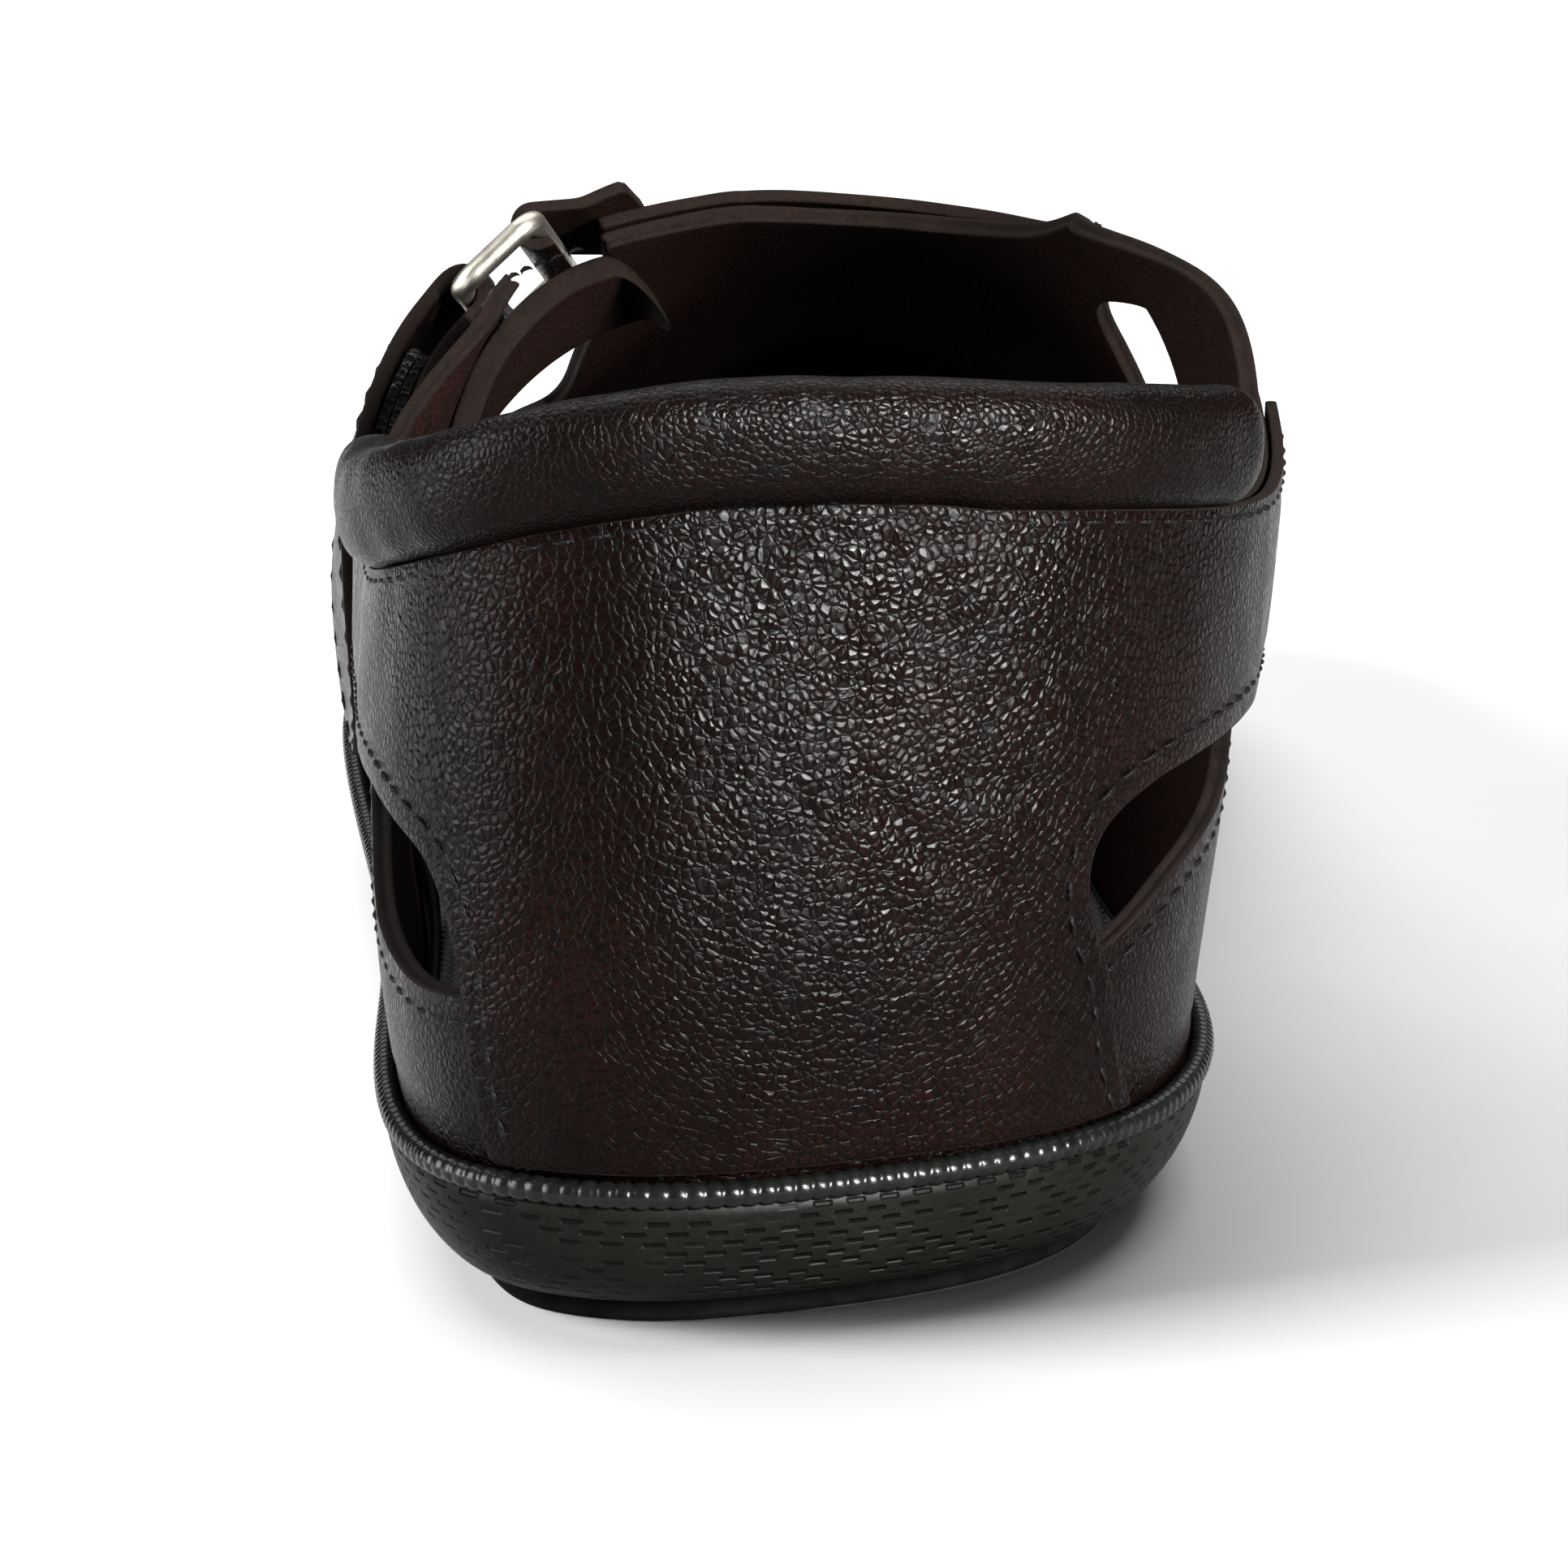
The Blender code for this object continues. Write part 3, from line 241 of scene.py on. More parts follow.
# Strap, flap and ring on the last. Columns: station, v
STRAP_LINE = ((9.20, 0.150), (9.35, 0.24), (9.55, 0.33), (9.80, 0.42), (10.14, 0.51), (10.52, 0.60))
FLAP_PATH = (
    (9.3, 0.40), (9.65, 0.48), (10.05, 0.57), (10.4, 0.66), (10.7, 0.745), (10.9, 0.80), (11.02, 0.835),
)
TAB_LINE = ((10.80, 0.870), (10.73, 0.810))
RING_STATION = 10.55
RING_V = 0.690
RING_LIFT = 0.0026
HEEL_PIECE_FOOT = 0.022

# Side of the sole. Columns: row, out in metres, height as a share of the sole's thickness
HULL = (
    ("bottom_edge", -0.0062, 0.160),
    ("turn_1", -0.0043, 0.180),
    ("turn_2", -0.0025, 0.250),
    ("side_1", -0.0008, 0.380),
    ("side_2", 0.0004, 0.530),
    ("side_3", 0.0012, 0.690),
    ("side_4", 0.0016, 0.840),
    ("bead_under", 0.0021, 0.880),
    ("bead_out", 0.0024, 0.960),
    ("bead_top", 0.0015, 1.050),
    ("bead_in", 0.0004, 0.990),
    ("seat_edge", 0.0003, 0.980),
    ("seat", -0.0024, 0.980),
)
HULL_REACH = max(row[1] for row in HULL)


class Slot(Enum):
    """Material slots of the record."""

    LEATHER = "leather"
    SOLE = "sole"
    TREAD = "tread"
    LINING = "lining"
    HOOK = "hook"
    METAL = "metal"


class Side(Enum):
    """Sides of the shoe, with the sign of their stations."""

    LATERAL = -1
    MEDIAL = 1


# Curves and the last


def unit(vector: Array) -> Array:
    """Vectors of length one, row by row."""
    return vector / np.maximum(np.linalg.norm(vector, axis=-1), 1e-12)[..., None]


def hermite(a: Array, b: Array, slope_a: Array, slope_b: Array, t: Array) -> Array:
    """Cubic between a and b with the slopes given at both ends."""
    h0 = 2 * t**3 - 3 * t**2 + 1
    h1 = t**3 - 2 * t**2 + t
    return h0 * a + h1 * slope_a + (1 - h0) * b + (t**3 - t**2) * slope_b


@dataclass
class Spline:
    """Cubic spline through rows at whole knots.

    Args:
        rows: one point a row.
        closed: joins the last row to the first.
        start: slope at the first row, natural where None.
        end: slope at the last row, natural where None.
    """

    rows: Array
    closed: bool = False
    start: Array | None = None
    end: Array | None = None
    slopes: Array = field(init=False)

    def __post_init__(self) -> None:
        """Solves the slopes: each is a third of what its neighbours' difference leaves."""
        self.rows = np.asarray(self.rows, float)
        count = len(self.rows)
        matrix = 4 * np.eye(count) + np.eye(count, k=1) + np.eye(count, k=-1)
        right = 3 * (np.roll(self.rows, -1, 0) - np.roll(self.rows, 1, 0))
        if self.closed:
            matrix[0, -1] = matrix[-1, 0] = 1
        else:
            for row, near, slope in ((0, 1, self.start), (-1, -2, self.end)):
                matrix[row] = 0
                matrix[row, row] = 2 if slope is None else 1
                matrix[row, near] = 1 if slope is None else 0
                step = 3 * (self.rows[near] - self.rows[row]) * (1 if row == 0 else -1)
                right[row] = step if slope is None else slope
        self.slopes = np.linalg.solve(matrix, right)

    def __call__(self, knot: Array) -> Array:
        """Points at knots."""
        knot = np.asarray(knot, float)
        count = len(self.rows)
        k = np.floor(knot).astype(int)
        if self.closed:
            a, b = k % count, (k + 1) % count
        else:
            k = np.clip(k, 0, count - 2)
            a, b = k, k + 1
        return hermite(self.rows[a], self.rows[b], self.slopes[a], self.slopes[b], (knot - k)[..., None])


def line(table: Table, q: Array) -> Array:
    """Smooth line through a short table, q from 0 at its first row to 1 at its last."""
    return Spline(table)(np.asarray(q, float) * (len(table) - 1))


def line_loop(table: Table, steps: int) -> Array:
    """Closed smooth line through a short table, with some points a row."""
    return Spline(table, closed=True)(np.arange(len(table) * steps) / steps)


def seam_v(station: Array) -> Array:
    """v of the collar's seam at a station."""
    fine = line(SEAM, np.linspace(0, 1, 400))
    return np.interp(station, fine[:, 0], fine[:, 1])


def run_along(path: Array) -> Array:
    """Length from a path's start to each of its points."""
    return np.concatenate(((0.0,), np.cumsum(np.linalg.norm(np.diff(path, axis=0), axis=1))))


def smooth(low: float, high: float, value: Array) -> Array:
    """Share of the way from low to high, eased at both ends."""
    share = np.clip((value - low) / (high - low), 0, 1)
    return share * share * (3 - 2 * share)


def soft_noise(points: Array, scale: float, seed: int, waves: int = 14) -> Array:
    """Smooth noise from about -1 to 1: the mean of sine waves in seeded directions.

    Args:
        points: places in metres.
        scale: length of a typical wave.
        seed: picks the directions and phases.
        waves: how many sines are added.

    Returns:
        The noise at each point.
    """
    random = np.random.default_rng(seed)
    ways = unit(random.normal(size=(waves, 3))) * random.uniform(0.6, 1.6, (waves, 1)) * 2 * np.pi / scale
    phase = random.uniform(0, 2 * np.pi, waves)
    return np.sin(points @ ways.T + phase).sum(-1) / np.sqrt(waves * 2)


def floor_rise(y: Array) -> Array:
    """Height of the sole's underside over the floor: the arch, then the toe spring."""
    share = np.asarray(y, float) / LENGTH
    toe = np.clip((share - SPRING_START) / (1 - SPRING_START), 0, None)
    waist = np.clip((share - 0.27) / (0.54 - 0.27), 0, 1)
    return TOE_SPRING * toe**2 + ARCH_RISE * np.sin(np.pi * waist)**2


class Last:
    """The surface that the leather pieces follow, in the shoe's own place before it is centred."""

    ends = len(FEATHER) - 1
    bend = len(TOPS)

    def __init__(self) -> None:
        """Turns the tables into four guide lines: feather line, low wall, high wall and top."""
        size = np.array((BALL_WIDTH, LENGTH, INSTEP_HEIGHT))
        keys = list(range(self.ends + 1)) + list(range(self.ends - 1, 0, -1))
        sides = [1] * (self.ends + 1) + [-1] * (self.ends - 1)
        base = []
        for k, side in zip(keys, sides):
            row = FEATHER[k]
            x, y = row[3:5] if side > 0 else row[1:3]
            base.append(np.array((x, y, row[5])) * size)
        self.base = Spline(base, closed=True)
        self.ridge = Spline(np.array([row[1:4] for row in RIDGE]) * size)
        low, high, tops = [], [], []
        for j, (k, side) in enumerate(zip(keys, sides)):
            bulge, rise, shoulder = WALLS[k][4:7] if side > 0 else WALLS[k][1:4]
            out = self.outward(np.array(float(j)))
            low.append(base[j] + out * bulge * BALL_WIDTH + np.array((0, 0, rise * INSTEP_HEIGHT)))
            if k < self.bend:
                row = TOPS[k]
                top = base[j] - out * (row[2] if side > 0 else row[1]) * BALL_WIDTH
                top[2] = row[3] * INSTEP_HEIGHT
                drop = -row[4] * INSTEP_HEIGHT
            else:
                top = self.ridge(np.array(float(k - self.bend)))
                along = self.ridge(np.array(k - self.bend + 0.01)) - top
                tilt = RIDGE[k - self.bend][4]
                drop = shoulder * BALL_WIDTH * (out[1] * along[2] / along[1] + out[0] * tilt)
            tops.append(top)
            high.append(top + out * shoulder * BALL_WIDTH + np.array((0, 0, drop)))
        self.low = Spline(low, closed=True)
        self.high = Spline(high, closed=True)
        rear = [tops[-k] for k in range(self.bend, 0, -1)] + tops[:self.bend + 1]
        slope = (self.ridge(np.array(0.001)) - self.ridge(np.array(0.0))) / 0.001
        self.rear = Spline(rear, start=-slope, end=slope)

    def outward(self, knot: Array) -> Array:
        """Level unit vectors that point out of the feather line."""
        along = self.base(knot + 0.001) - self.base(knot - 0.001)
        return unit(np.stack((along[..., 1], -along[..., 0], 0 * along[..., 0]), -1))

    def knot(self, station: Array) -> Array:
        """Knot of the closed guide lines at a station."""
        return np.where(station < 0, station + 2 * self.ends, station)

    def top(self, station: Array) -> Array:
        """Top end of the wall's curve: the ankle's rim behind, the ridge in front."""
        far = np.abs(station)
        rear = self.rear(np.clip(station, -self.bend, self.bend) + self.bend)
        front = self.ridge(np.clip(far - self.bend, 0, self.ends - self.bend))
        return np.where((far <= self.bend)[..., None], rear, front)

    def at(self, station: Array, v: Array) -> Array:
        """Points of the surface: a cubic Bezier curve up each station's wall."""
        station = np.asarray(station, float)
        v = np.asarray(v, float)[..., None]
        knot, w = self.knot(station), 1 - v
        return (w**3 * self.base(knot) + 3 * w**2 * v * self.low(knot)
                + 3 * w * v**2 * self.high(knot) + v**3 * self.top(station))

    def normal(self, station: Array, v: Array) -> Array:
        """Unit normals of the surface, out of the shoe."""
        station, v = np.asarray(station, float), np.clip(v, 0.0, 0.996)
        along = self.at(station + 0.002, v) - self.at(station - 0.002, v)
        return unit(np.cross(along, self.at(station, v + 0.001) - self.at(station, v - 0.001)))

    def off(self, station: Array, v: Array, distance: Array | float) -> Array:
        """Points at a distance outside the surface."""
        return self.at(station, v) + self.normal(station, v) * np.asarray(distance, float)[..., None]

    def over(self, across: Array, forward: Array, distance: float = 0.0) -> Array:
        """Points over the foot; across runs from -1 to 1 with the ridge at 0."""
        station = np.where(across < 0, -1.0, 1.0) * forward
        near = np.maximum(np.abs(across), 0.004)
        return self.at(station, 1 - np.abs(across)) + self.normal(station, 1 - near) * distance

    def walk(self, station: Array, v: Array, direction: Array, distance: Array) -> tuple[Array, Array]:
        """Chart places reached by going a distance over the surface in a direction, in four steps."""
        for _ in range(4):
            here = self.at(station, v)
            by_station = (self.at(station + 0.01, v) - here) / 0.01
            by_v = (self.at(station, v + 0.002) - here) / 0.002
            normal = unit(np.cross(by_station, by_v))
            flat = unit(direction - normal * np.sum(normal * direction, -1)[..., None])
            ss, sv, vv = (np.sum(a * b, -1) for a, b in (
                (by_station, by_station), (by_station, by_v), (by_v, by_v)))
            ds, dv = np.sum(flat * by_station, -1), np.sum(flat * by_v, -1)
            scale = distance / 4 / (ss * vv - sv * sv)
            station = station + (vv * ds - sv * dv) * scale
            v = v + (ss * dv - sv * ds) * scale
        return station, v


LAST = Last()


def sole_stations(half: int) -> Array:
    """Stations round the sole, twice half of them, from the lateral toe to the medial toe."""
    side = np.linspace(0, LAST.ends, half + 1)
    return np.concatenate((-side[::-1][:-1], side[:-1]))


def sole_shift(stations: int) -> Array:
    """Move from the shoe's own place to the frame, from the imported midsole's box.

    Args:
        stations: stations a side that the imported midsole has.

    Returns:
        The level move that puts the sole's widest ring in the middle of that box.
    """
    knot = LAST.knot(sole_stations(stations))
    ring = LAST.base(knot) + LAST.outward(knot) * SOLE_MARGIN
    low, high = (np.array(corner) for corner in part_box("midsole"))
    shift = (low + high - ring.min(0) - ring.max(0)) / 2
    shift[2] = 0.0
    return shift


SHIFT = sole_shift(SOLE_STATIONS)


# Meshes


@dataclass
class Shell:
    """Closed mesh in the making.

    Args:
        points: places, one a row.
        faces: blocks of triangles or quads, each with its own finish number.
        uv: texture places by point, in millimetres, where a finish needs them.
    """

    points: Array
    faces: list[tuple[Array, int]]
    uv: Array | None = None

    def joined(self, other: "Shell") -> "Shell":
        """Both meshes as one."""
        moved = [(block + len(self.points), number) for block, number in other.faces]
        return Shell(np.concatenate((self.points, other.points)), self.faces + moved)

    def fused(self) -> tuple[Array, Array, Array, Array, Array]:
        """Points that lie on each other made one; a face keeps a corner that it has twice only once.

        Returns:
            The points, the faces' corners in a row, the number that each corner had before, the
            faces' corner counts and their finish numbers.
        """
        _, first, index = np.unique(np.round(self.points / 1e-6).astype(np.int64), axis=0,
                                    return_index=True, return_inverse=True)
        index = index.ravel()
        found = []
        for block, number in self.faces:
            joined = index[block]
            same = joined[:, :, None] == joined[:, None]
            fresh = ~np.triu(same, 1).any(2)
            fresh &= fresh.sum(1, keepdims=True) > 2
            before = np.take_along_axis(block, same.argmax(2), 1)
            sizes = fresh.sum(1)[fresh.any(1)]
            found.append((joined[fresh], before[fresh], sizes, np.full(len(sizes), number)))
        return self.points[first], *(np.concatenate(parts) for parts in zip(*found))

    def piece(self, name: str, finishes: list["Finish"], slot: Slot, replaces: tuple[str, ...] = (),
              wrap: float = 0.0) -> bpy.types.Object:
        """Blender object of this mesh, riding on the shoe.

        Args:
            name: the piece's name.
            finishes: one for each finish number.
            slot: the record's slot; not used.
            replaces: CAD nodes that it stands for.
            wrap: length round the mesh at which its first uv column starts again.

        Returns:
            The linked object.
        """
        points, corners, places, sizes, numbers = self.fused()
        mesh = bpy.data.meshes.new(name)
        mesh.vertices.add(len(points))
        mesh.vertices.foreach_set("co", (points + SHIFT).ravel())
        mesh.loops.add(len(corners))
        mesh.loops.foreach_set("vertex_index", corners.astype(np.int32))
        mesh.polygons.add(len(sizes))
        mesh.polygons.foreach_set("loop_start", (np.cumsum(sizes) - sizes).astype(np.int32))
        mesh.polygons.foreach_set("material_index", numbers.astype(np.int32))
        mesh.polygons.foreach_set("use_smooth", np.ones(len(sizes), bool))
        mesh.update(calc_edges=True)
        if self.uv is not None:
            face = np.repeat(np.arange(len(sizes)), sizes)
            uv = self.uv[places]
            far = np.full(len(sizes), -1e9)
            np.maximum.at(far, face, uv[:, 0])
            uv[:, 0] += np.where(far[face] - uv[:, 0] > wrap / 2, wrap, 0.0)
            mesh.uv_layers.new(name="UVMap").data.foreach_set("uv", uv.ravel())
        made = bpy.data.objects.new(name, mesh)
        for finish in finishes:
            mesh.materials.append(finish.material())
        bpy.context.collection.objects.link(made)
        mesh.validate()
        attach(made, "root")
        if replaces:
            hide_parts(*replaces)
        LOG.info("%s: %d points, %d faces", name, len(mesh.vertices), len(mesh.polygons))
        return made


def grid_quads(rows: int, columns: int, closed: bool = False) -> Array:
    """Quads of a grid of points; closed joins the last column to the first."""
    i, j = np.meshgrid(np.arange(rows - 1), np.arange(columns if closed else columns - 1), indexing="ij")
    k = (j + 1) % columns
    return np.stack((i * columns + j, i * columns + k, (i + 1) * columns + k, (i + 1) * columns + j),
                    -1).reshape(-1, 4)


def weld(points: Array, normals: Array, faces: Array) -> tuple[Array, Array, Array, Array]:
    """Joins points that lie on each other, averages their normals and drops empty faces.

    Returns:
        The points left, their normals, the faces, and the number that each point had before.
    """
    _, first, index = np.unique(np.round(points / 3e-6).astype(np.int64), axis=0,
                                return_index=True, return_inverse=True)
    index = index.ravel()
    joined = np.zeros((len(first), 3))
    np.add.at(joined, index, normals)
    faces = index[faces]
    whole = np.ones(len(faces), bool)
    for k in range(faces.shape[1]):
        whole &= faces[:, k] != faces[:, (k + 1) % faces.shape[1]]
    return points[first], unit(joined), faces[whole], first


def rimmed(points: Array, normals: Array, faces: Array, outside: Array | float, inside: float,
           bulge: float, layers: int = 1) -> Shell:
    """Sheet with a wall and rolled edges.

    A rim point stands off the sheet's edge by bulge times the root of the sine of its angle, which runs
    from the outer to the inner face; each layer of leather has a full turn of the sine.

    Args:
        points: middle surface.
        normals: directions out of the sheet.
        faces: triangles or quads, turned outwards.
        outside: outer face's distance.
        inside: inner face's distance.
        bulge: how far the edge is rolled out.
        layers: leather layers that show in the edge.

    Returns:
        The mesh: finish 0 outside, 1 inside and 2 on the edges.
    """
    count, steps = len(points), 3 + 4 * layers
    outer = np.broadcast_to(np.asarray(outside, float), (count,))
    heads, tails = faces.ravel(), np.roll(faces, -1, 1).ravel()
    alone = ~np.isin(heads * count + tails, tails * count + heads)
    a, b = heads[alone], tails[alone]
    after, before = np.arange(count), np.arange(count)
    after[a], before[b] = b, a
    rim = np.unique(np.concatenate((a, b)))
    place = np.zeros(count, int)
    place[rim] = np.arange(len(rim))
    way = unit(np.cross(points[after[rim]] - points[before[rim]], normals[rim]))
    middle, half = (outer[rim] + inside) / 2, (outer[rim] - inside) / 2
    angle = np.pi * np.arange(1, steps + 1)[:, None] / (steps + 1)
    rings = (points[rim] + normals[rim] * (middle + half * np.cos(angle))[..., None]
             + way * (bulge * np.abs(np.sin(layers * angle))**0.6)[..., None])

    def level(step: int, index: Array) -> Array:
        """Point numbers of a rim step."""
        if step == 0:
            return index
        return index + count if step == steps + 1 else 2 * count + (step - 1) * len(rim) + place[index]

    edge = np.concatenate([np.stack((level(s, b), level(s, a), level(s + 1, a), level(s + 1, b)), 1)
                           for s in range(steps + 1)])
    both = np.concatenate((points + normals * outer[:, None], points + normals * inside,
                           rings.reshape(-1, 3)))
    return Shell(both, [(faces, 0), (faces[:, ::-1] + count, 1), (edge, 2)])


def in_loop(points: Array, loop: Array) -> Array:
    """Whether points lie in a closed loop, by counting its crossings to their right."""
    inside = np.zeros(len(points), bool)
    a, b = loop, np.roll(loop, -1, 0)
    for start in range(0, len(points), CHUNK):
        x, y = points[start:start + CHUNK, :1], points[start:start + CHUNK, 1:]
        spans = (a[:, 1] > y) != (b[:, 1] > y)
        rise = np.where(b[:, 1] == a[:, 1], 1.0, b[:, 1] - a[:, 1])
        right = x < (b[:, 0] - a[:, 0]) * (y - a[:, 1]) / rise + a[:, 0]
        inside[start:start + CHUNK] = np.sum(spans & right, 1) % 2 == 1
    return inside


@dataclass
class Region:
    """Part of the last's chart with its cut-outs.

    Args:
        outline: closed loop of stations and v.
        holes: loops that are cut out; they may cross the outline.
        spacing: distance between the mesh's points in metres.
    """

    outline: Array
    holes: list[Array]
    spacing: float = 0.0016

    def holds(self, places: Array) -> Array:
        """Whether scaled places lie in the outline and in no hole."""
        inside = in_loop(places, self.outline * CHART)
        for hole in self.holes:
            inside &= ~in_loop(places, hole * CHART)
        return inside

    def mesh(self) -> tuple[Array, Array, Array]:
        """Stations, v and triangles: a hexagonal grid joined to the loops by a Delaunay net."""
        step = self.spacing * 1000
        loops = [loop * CHART for loop in (self.outline, *self.holes)]
        low, high = loops[0].min(0), loops[0].max(0)
        x, y = np.meshgrid(np.arange(low[0], high[0], step), np.arange(low[1], high[1], step * 0.866))
        x = x + (np.arange(len(x)) % 2)[:, None] * step / 2
        grid = np.stack((x.ravel(), y.ravel()), 1)
        grid = grid[self.holds(grid)]
        edge = np.concatenate(loops)
        near = np.zeros(len(grid), bool)
        for start in range(0, len(grid), CHUNK):
            part = grid[start:start + CHUNK]
            gap = (part[:, :1] - edge[:, 0])**2 + (part[:, 1:] - edge[:, 1])**2
            near[start:start + CHUNK] = gap.min(1) < (0.62 * step)**2
        places = np.concatenate((edge, grid[~near]))
        ties, start = [], 0
        for loop in loops:
            ring = np.arange(len(loop)) + start
            ties += np.stack((ring, np.roll(ring, -1)), 1).tolist()
            start += len(loop)
        net = delaunay_2d_cdt([Vector(place) for place in places.tolist()], ties, [], 0, 1e-5)
        found = np.array([tuple(vert) for vert in net[0]])
        faces = np.array([face for face in net[2] if len(face) == 3])
        faces = faces[self.holds(found[faces].mean(1))]
        used, faces = np.unique(faces.ravel(), return_inverse=True)
        chart = found[used] / CHART
        return chart[:, 0], chart[:, 1], faces.reshape(-1, 3)


@dataclass(frozen=True)
class Stitch:
    """Thread that shows between two holes.

    Args:
        length: stitch length.
        pitch: distance from hole to hole.
        radius: thread radius.
        sink: how deep its ends go.
    """

    length: float = 0.0026
    pitch: float = 0.0033
    radius: float = 0.00028
    sink: float = 0.00046

    def row(self, path: Array, normals: Array) -> Shell:
        """Capsules along a path: a ring of six points at five places of each stitch.

        A ring's radius is the root of one minus the square of its place, and its middle sinks with
        the fourth power of its place.

        Args:
            path: the row's line.
            normals: directions out of the leather along it.

        Returns:
            The row's mesh.
        """
        gaps = run_along(path)
        where = np.arange(self.pitch / 2, gaps[-1], self.pitch)

        def along(values: Array, at: Array) -> Array:
            """Values at lengths along the path."""
            return np.stack([np.interp(at, gaps, values[:, k]) for k in range(3)], 1)

        way = unit(along(path, where + self.pitch / 3) - along(path, where - self.pitch / 3))
        up = unit(along(normals, where))
        side = unit(np.cross(way, up))
        share = np.array((-1.0, -0.72, 0.0, 0.72, 1.0))
        size = np.sqrt(np.maximum(1 - share**2, 0.03))[:, None, None] * self.radius
        turn = np.arange(6) * np.pi / 3
        ring = np.cos(turn)[:, None] * side[:, None, None] + np.sin(turn)[:, None] * up[:, None, None]
        spine = (way[:, None] * share[:, None] * self.length / 2
                 - up[:, None] * (share**4)[:, None] * self.sink)
        points = (along(path, where)[:, None, None] + spine[:, :, None] + ring * size)
        sides = grid_quads(5, 6, closed=True)[:, ::-1]
        ends = np.array(((0, 1, 2, 3), (3, 4, 5, 0), (27, 26, 25, 24), (24, 29, 28, 27)))
        one = np.concatenate((sides, ends))
        faces = (one[None] + 30 * np.arange(len(where))[:, None, None]).reshape(-1, 4)
        return Shell(points.reshape(-1, 3), [(faces, 0)])


def aside(points: Array, normals: Array, inset: float, height: float) -> tuple[Array, Array]:
    """Path moved to the left of its own direction and off the surface, with its normals."""
    way = unit(np.gradient(points, axis=0))
    return points + np.cross(normals, way) * inset + normals * height, normals


def beside(edge: Array, inset: float, height: float) -> tuple[Array, Array]:
    """Path on the last beside a chart line.

    Args:
        edge: the line's stations and v.
        inset: distance to the left of its direction.
        height: distance over the last.

    Returns:
        The path and the last's normals along it.
    """
    station, v = edge[:, 0], edge[:, 1]
    return aside(LAST.at(station, v), LAST.normal(station, v), inset, height)


# Finishes


class Graph:
    """Node tree of one material, around its Principled shader."""

    def __init__(self, name: str) -> None:
        """Makes the material with an empty shader."""
        self.made = bpy.data.materials.new(name)
        self.made.use_nodes = True
        self.tree = self.made.node_tree
        self.shader = self.tree.nodes["Principled BSDF"]
        self.place = self.node("ShaderNodeTexCoord").outputs["Object"]

    def node(self, kind: str, inputs: dict[str | int, object] | None = None,
             **settings: object) -> bpy.types.Node:
        """Adds a node; inputs that are sockets are linked, others set."""
        made = self.tree.nodes.new(kind)
        for key, value in settings.items():
            setattr(made, key, value)
        for key, value in (inputs or {}).items():
            self.feed(made.inputs[key], value)
        return made

    def feed(self, socket: Socket, value: object) -> None:
        """Links a socket to another or sets its value."""
        if isinstance(value, Socket):
            self.tree.links.new(value, socket)
        else:
            socket.default_value = value

    def give(self, **inputs: object) -> None:
        """Feeds the shader's inputs; an underscore in a name stands for a space."""
        for name, value in inputs.items():
            self.feed(self.shader.inputs[name.replace("_", " ")], value)

    def noise(self, scale: float, detail: float = 3.0, rough: float = 0.55) -> Socket:
        """Noise from 0 to 1; scale counts waves a metre."""
        return self.node("ShaderNodeTexNoise", {
            "Vector": self.place, "Scale": scale, "Detail": detail, "Roughness": rough}).outputs["Fac"]

    def math(self, operation: str, a: object, b: object = 0.0) -> Socket:
        """Result of a math operation on one or two values."""
        return self.node("ShaderNodeMath", {0: a, 1: b}, operation=operation).outputs[0]

    def add(self, a: object, b: object) -> Socket:
        """Sum of two values."""
        return self.math("ADD", a, b)

    def times(self, a: object, b: object) -> Socket:
        """Product of two values."""
        return self.math("MULTIPLY", a, b)

    def blend(self, a: Socket, share: float, b: Socket, rest: float) -> Socket:
        """Sum of two values, each times its share."""
        return self.add(self.times(a, share), self.times(b, rest))

    def mixed(self, share: Socket, a: object, b: object) -> Socket:
        """Colour between two others, by the share of the second."""
        return self.node("ShaderNodeMix", {"Factor": share, 6: a, 7: b}, data_type="RGBA").outputs[2]

    def ramp(self, value: Socket, stops: list[tuple[float, Colour]]) -> Socket:
        """Colour for a value, from stops of place and colour."""
        made = self.node("ShaderNodeValToRGB", {"Fac": value})
        elements = made.color_ramp.elements
        while len(elements) < len(stops):
            elements.new(0.5)
        for element, (place, colour) in zip(elements, stops):
            element.position = place
            element.color = (*colour, 1.0)
        return made.outputs["Color"]

    def span(self, value: Socket, low: float, high: float, to_low: float = 0.0,
             to_high: float = 1.0) -> Socket:
        """Value taken from one range to another and kept inside it."""
        return self.node("ShaderNodeMapRange", {
            "Value": value, "From Min": low, "From Max": high, "To Min": to_low,
            "To Max": to_high}).outputs[0]

    def bump(self, height: Socket, distance: float, strength: float = 1.0,
             under: Socket | None = None) -> Socket:
        """Normal of a height map, over another normal if given."""
        made = self.node("ShaderNodeBump", {"Height": height, "Distance": distance, "Strength": strength})
        if under is not None:
            self.feed(made.inputs["Normal"], under)
        return made.outputs["Normal"]

    def warped(self, amount: float, scale: float) -> Socket:
        """Object place shifted by noise, so that cells aren't regular."""
        noise = self.node("ShaderNodeTexNoise", {"Vector": self.place, "Scale": scale, "Detail": 2.0})
        push = self.node("ShaderNodeVectorMath", {0: noise.outputs["Color"], 1: (amount,) * 3},
                         operation="MULTIPLY")
        return self.node("ShaderNodeVectorMath", {0: self.place, 1: push.outputs[0]},
                         operation="ADD").outputs[0]


